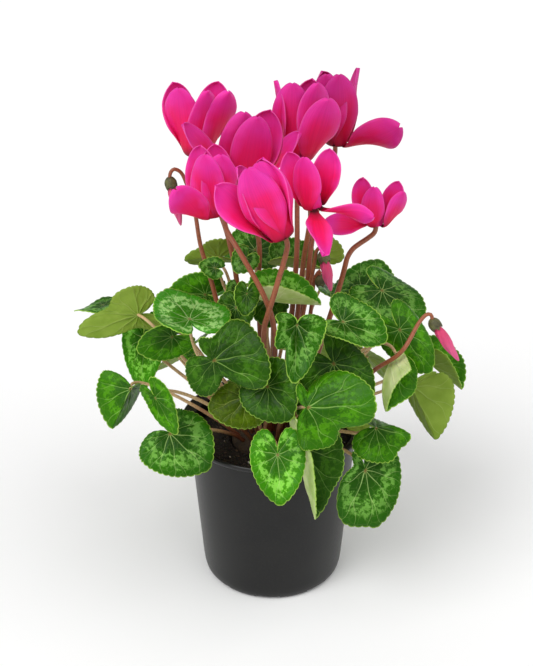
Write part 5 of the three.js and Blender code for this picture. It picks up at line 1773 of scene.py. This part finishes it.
@dataclass
class Ground:
    """The soil with its crumbs, lumps and settled edge, and the uneven tuber that sits half out of it."""

    finishes: Finishes
    sides: int = 96
    seed: int = 7
    tint_seed: int = 3
    crumbs_per_square_metre: float = 260000.0
    smallest: float = 0.5
    largest: float = 1.5
    flatness: float = 0.6
    spin: float = 6.28
    grain: float = 0.8
    profile: Profile = (
        (0, 4.7), (40.1, 4.7), (44.6, 10.5), (52, 98), (48, 100), (44, 100.6), (40, 100.8), (35, 100.6),
        (30, 100),
    )
    crumb_bed: Profile = (
        (0, 99.0), (28.5, 99.2), (34, 100.2), (40, 100.6), (44, 100.4), (49, 99.6), (0, 99.0),
    )
    crumbs_from: float = 26.0
    crumbs_above: float = 99.4
    bed_steps: int = 6
    bed_room: float = 0.6
    top: float = 98.5
    lumps_from: float = 29.0
    lump: float = 0.7
    lump_size: float = 6.0
    settled: float = 0.3
    cork_rings: int = 24
    cork_sides: int = 64
    cork_depth: float = 0.012
    cork_size: float = 4.0

    def scatter(self, tree: bpy.types.NodeTree, given: bpy.types.NodeOutputs) -> bpy.types.Node:
        """Adds the nodes that scatter crumbs over faces, and returns the one with the crumbs."""
        spots = put(tree, "GeometryNodeDistributePointsOnFaces",
                    {"Mesh": given["Geometry"], "Density": given["density"], "Seed": given["seed"]})
        crumb = put(tree, "GeometryNodeMeshIcoSphere", {"Radius": 1.0, "Subdivisions": 1})
        size = put(tree, RANDOM, {2: given["smallest"], 3: given["largest"], "Seed": given["seed"]},
                   data_type="FLOAT").outputs[1]
        low = put(tree, MATH, {0: size, 1: self.flatness}, operation="MULTIPLY")
        shape = put(tree, "ShaderNodeCombineXYZ", {"X": size, "Y": low, "Z": low})
        turn = put(tree, RANDOM, {0: (0, 0, 0), 1: (self.spin,) * 3, "Seed": given["seed"]},
                   data_type="FLOAT_VECTOR")
        placed = put(tree, "GeometryNodeInstanceOnPoints",
                     {"Points": spots.outputs["Points"], "Instance": crumb.outputs["Mesh"], "Scale": shape,
                      "Rotation": turn.outputs[0]})
        tint = put(tree, RANDOM, {2: 0.0, 3: 1.0, "Seed": self.tint_seed}, data_type="FLOAT")
        return put(tree, "GeometryNodeStoreNamedAttribute",
                   {"Geometry": placed, "Name": "tint", "Value": tint.outputs[1]}, data_type="FLOAT",
                   domain="INSTANCE")

    def crumb_material(self) -> bpy.types.Material:
        """Returns the crumbs' material: damp peat, bark and a few pale grains, all dull."""
        material, tree, shader = new_material("soil_crumbs")
        tint = put(tree, "ShaderNodeAttribute", attribute_name="tint").outputs["Fac"]
        at = put(tree, "ShaderNodeTexCoord").outputs["Object"]
        ramp = put(tree, "ShaderNodeValToRGB", {"Fac": tint})
        ramp.color_ramp.interpolation = "CONSTANT"
        stops = ramp.color_ramp.elements
        stops[0].position, stops[0].color = 0.0, linear("140f0b")
        stops[1].position, stops[1].color = 0.45, linear("1f1812")
        for spot, code in ((0.75, "33271c"), (0.93, "4f3b29"), (0.975, "b9b2a4")):
            stops.new(spot).color = linear(code)
        grain = put(tree, NOISE, {"Vector": at, "Scale": per_mm(self.grain), "Detail": 2.0})
        surface(tree, shader, ramp, 0.85, grain, 0.3, 0.6)
        return material

    def build(self) -> list[bpy.types.Object]:
        """Builds the soil and the tuber and returns them."""
        profile = list(self.profile)
        for i in range(self.bed_steps + 1):
            angle = math.pi / 2 * i / self.bed_steps
            profile.append(((TUBER.radius + self.bed_room) * math.cos(angle) if i < self.bed_steps else 0,
                            TUBER.centre - (TUBER.half_height + self.bed_room / 2) * math.sin(angle)))

        def lumpy(ring: Array, share: float) -> Array:
            """Raises and lowers the top of the soil a little."""
            ring = ring.copy()
            for p in ring:
                if p[2] > self.top and math.hypot(p[0], p[1]) > self.lumps_from:
                    p[2] += self.lump * noise.noise(Vector(p / self.lump_size)) - self.settled
            return ring

        soil = mesh_object("soil_body", lathe(profile, self.sides, warp=lumpy), [self.finishes.peat])
        bed = lathe(self.crumb_bed, self.sides // 2)
        bed.faces = [f for f in bed.faces if self.bears_crumbs(bed.points[list(f)])]
        bed.places = [((0.0, 0.0),) * len(f) for f in bed.faces]
        bed.finishes = [0] * len(bed.faces)
        grower = Grower("scattered_crumbs", self.scatter, density="Float", smallest="Float", largest="Float",
                        seed="Int")
        crumbs = grower.grow(
            mesh_object("soil_crumbs", bed, []), density=self.crumbs_per_square_metre,
            smallest=self.smallest * METRE, largest=self.largest * METRE, seed=self.seed,
            skin=self.crumb_material(),
        )
        ground = joined_objects("soil_look", [soil, crumbs])
        return [dressed(ground, "soil", "soil"), self.tuber()]

    def bears_crumbs(self, corners: Array) -> bool:
        """Returns whether a face of the bed lies on the soil, clear of the tuber's middle."""
        around, height = np.mean(np.hypot(corners[:, 0], corners[:, 1])), np.mean(corners[:, 2])
        return bool(around > self.crumbs_from and height > self.crumbs_above)

    def tuber(self) -> bpy.types.Object:
        """Builds the tuber with its uneven cork and returns it."""
        profile = []
        for i in range(self.cork_rings + 1):
            angle = -math.pi / 2 + math.pi * i / self.cork_rings
            profile.append((TUBER.radius * math.cos(angle) if 0 < i < self.cork_rings else 0,
                            TUBER.centre + TUBER.half_height * math.sin(angle)))

        def uneven(ring: Array, share: float) -> Array:
            """Shrinks the surface here and there."""
            centre = vec(0, 0, TUBER.centre)
            out = ring - centre
            shrink = [1 - self.cork_depth * (1 + noise.noise(Vector(p / self.cork_size))) for p in ring]
            return centre + out * np.array(shrink)[:, None]

        tuber = mesh_object("tuber_look", lathe(profile, self.cork_sides, warp=uneven), [self.finishes.cork])
        return dressed(tuber, "tuber", "tuber")


# The studio


@dataclass
class Studio:
    """Camera, floor and soft light."""

    eye: Point = (0.0, -0.700, 0.541)
    pitch_down: float = 27.6
    focal_pixels: float = 1257.0
    frame_pixels: float = 666.0
    shift: float = -0.009
    sensor: float = 36.0
    nearest: float = 0.01
    floor_size: float = 180.0
    lit: Point = (0.0, 0.0, 0.18)
    surround: float = 0.45

    def camera(self) -> None:
        """Adds the camera at the photograph's viewing angle."""
        data = bpy.data.cameras.new("camera")
        data.sensor_width = self.sensor
        data.lens = self.focal_pixels / self.frame_pixels * data.sensor_width
        data.shift_x = self.shift
        data.clip_start = self.nearest
        camera = bpy.data.objects.new("camera", data)
        camera.location = self.eye
        camera.rotation_euler = (math.radians(90 - self.pitch_down), 0, 0)
        bpy.context.scene.collection.objects.link(camera)
        bpy.context.scene.camera = camera

    def floor(self) -> None:
        """Adds the plain pale floor."""
        half = self.floor_size / 2 / METRE
        skin = Skin(np.array([(-half, -half, 0), (half, -half, 0), (half, half, 0), (-half, half, 0)]))
        skin.face((0, 1, 2, 3), ((0, 0), (1, 0), (1, 1), (0, 1)), 0)
        material, _, shader = new_material("floor_plain")
        shader.inputs["Base Color"].default_value = linear("fafafa")
        shader.inputs["Roughness"].default_value = 0.9
        mesh_object("floor", skin, [material])

    def light(self) -> None:
        """Adds a white surround and soft lights from the front left and the front right."""
        world = bpy.data.worlds.new("surround")
        world.use_nodes = True
        back = next(n for n in world.node_tree.nodes if n.type == "BACKGROUND")
        back.inputs["Color"].default_value = (1, 1, 1, 1)
        back.inputs["Strength"].default_value = self.surround
        bpy.context.scene.world = world
        bpy.context.scene.view_settings.view_transform = "Standard"
        for name, at, spread, power in (
            ("key", (-0.9, -1.0, 1.7), 40, 1.7), ("fill", (1.0, -0.6, 1.6), 55, 1.0),
        ):
            data = bpy.data.lights.new(name, "SUN")
            data.energy = power
            data.angle = math.radians(spread)
            lamp = bpy.data.objects.new(name, data)
            lamp.location = at
            lamp.rotation_mode = "QUATERNION"
            lamp.rotation_quaternion = (Vector(self.lit) - Vector(at)).to_track_quat("-Z", "Y")
            bpy.context.scene.collection.objects.link(lamp)

    def build(self) -> None:
        """Adds everything."""
        self.camera()
        self.floor()
        self.light()


def main() -> None:
    """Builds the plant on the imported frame."""
    logging.basicConfig(level=logging.INFO, format="%(message)s")
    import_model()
    finishes = Finishes()
    maker = StalkMaker()
    stems = routed()
    makers = (
        Pot(finishes), Ground(finishes), Foliage(stems, finishes, maker), Blossom(stems, finishes, maker),
        Nodding(stems, finishes, maker),
    )
    for one in makers:
        for piece in one.build():
            LOG.info("%s: %s, %d faces", type(one).__name__, piece.name, len(piece.data.polygons))
    Studio().build()


if __name__ == "__main__":
    main()
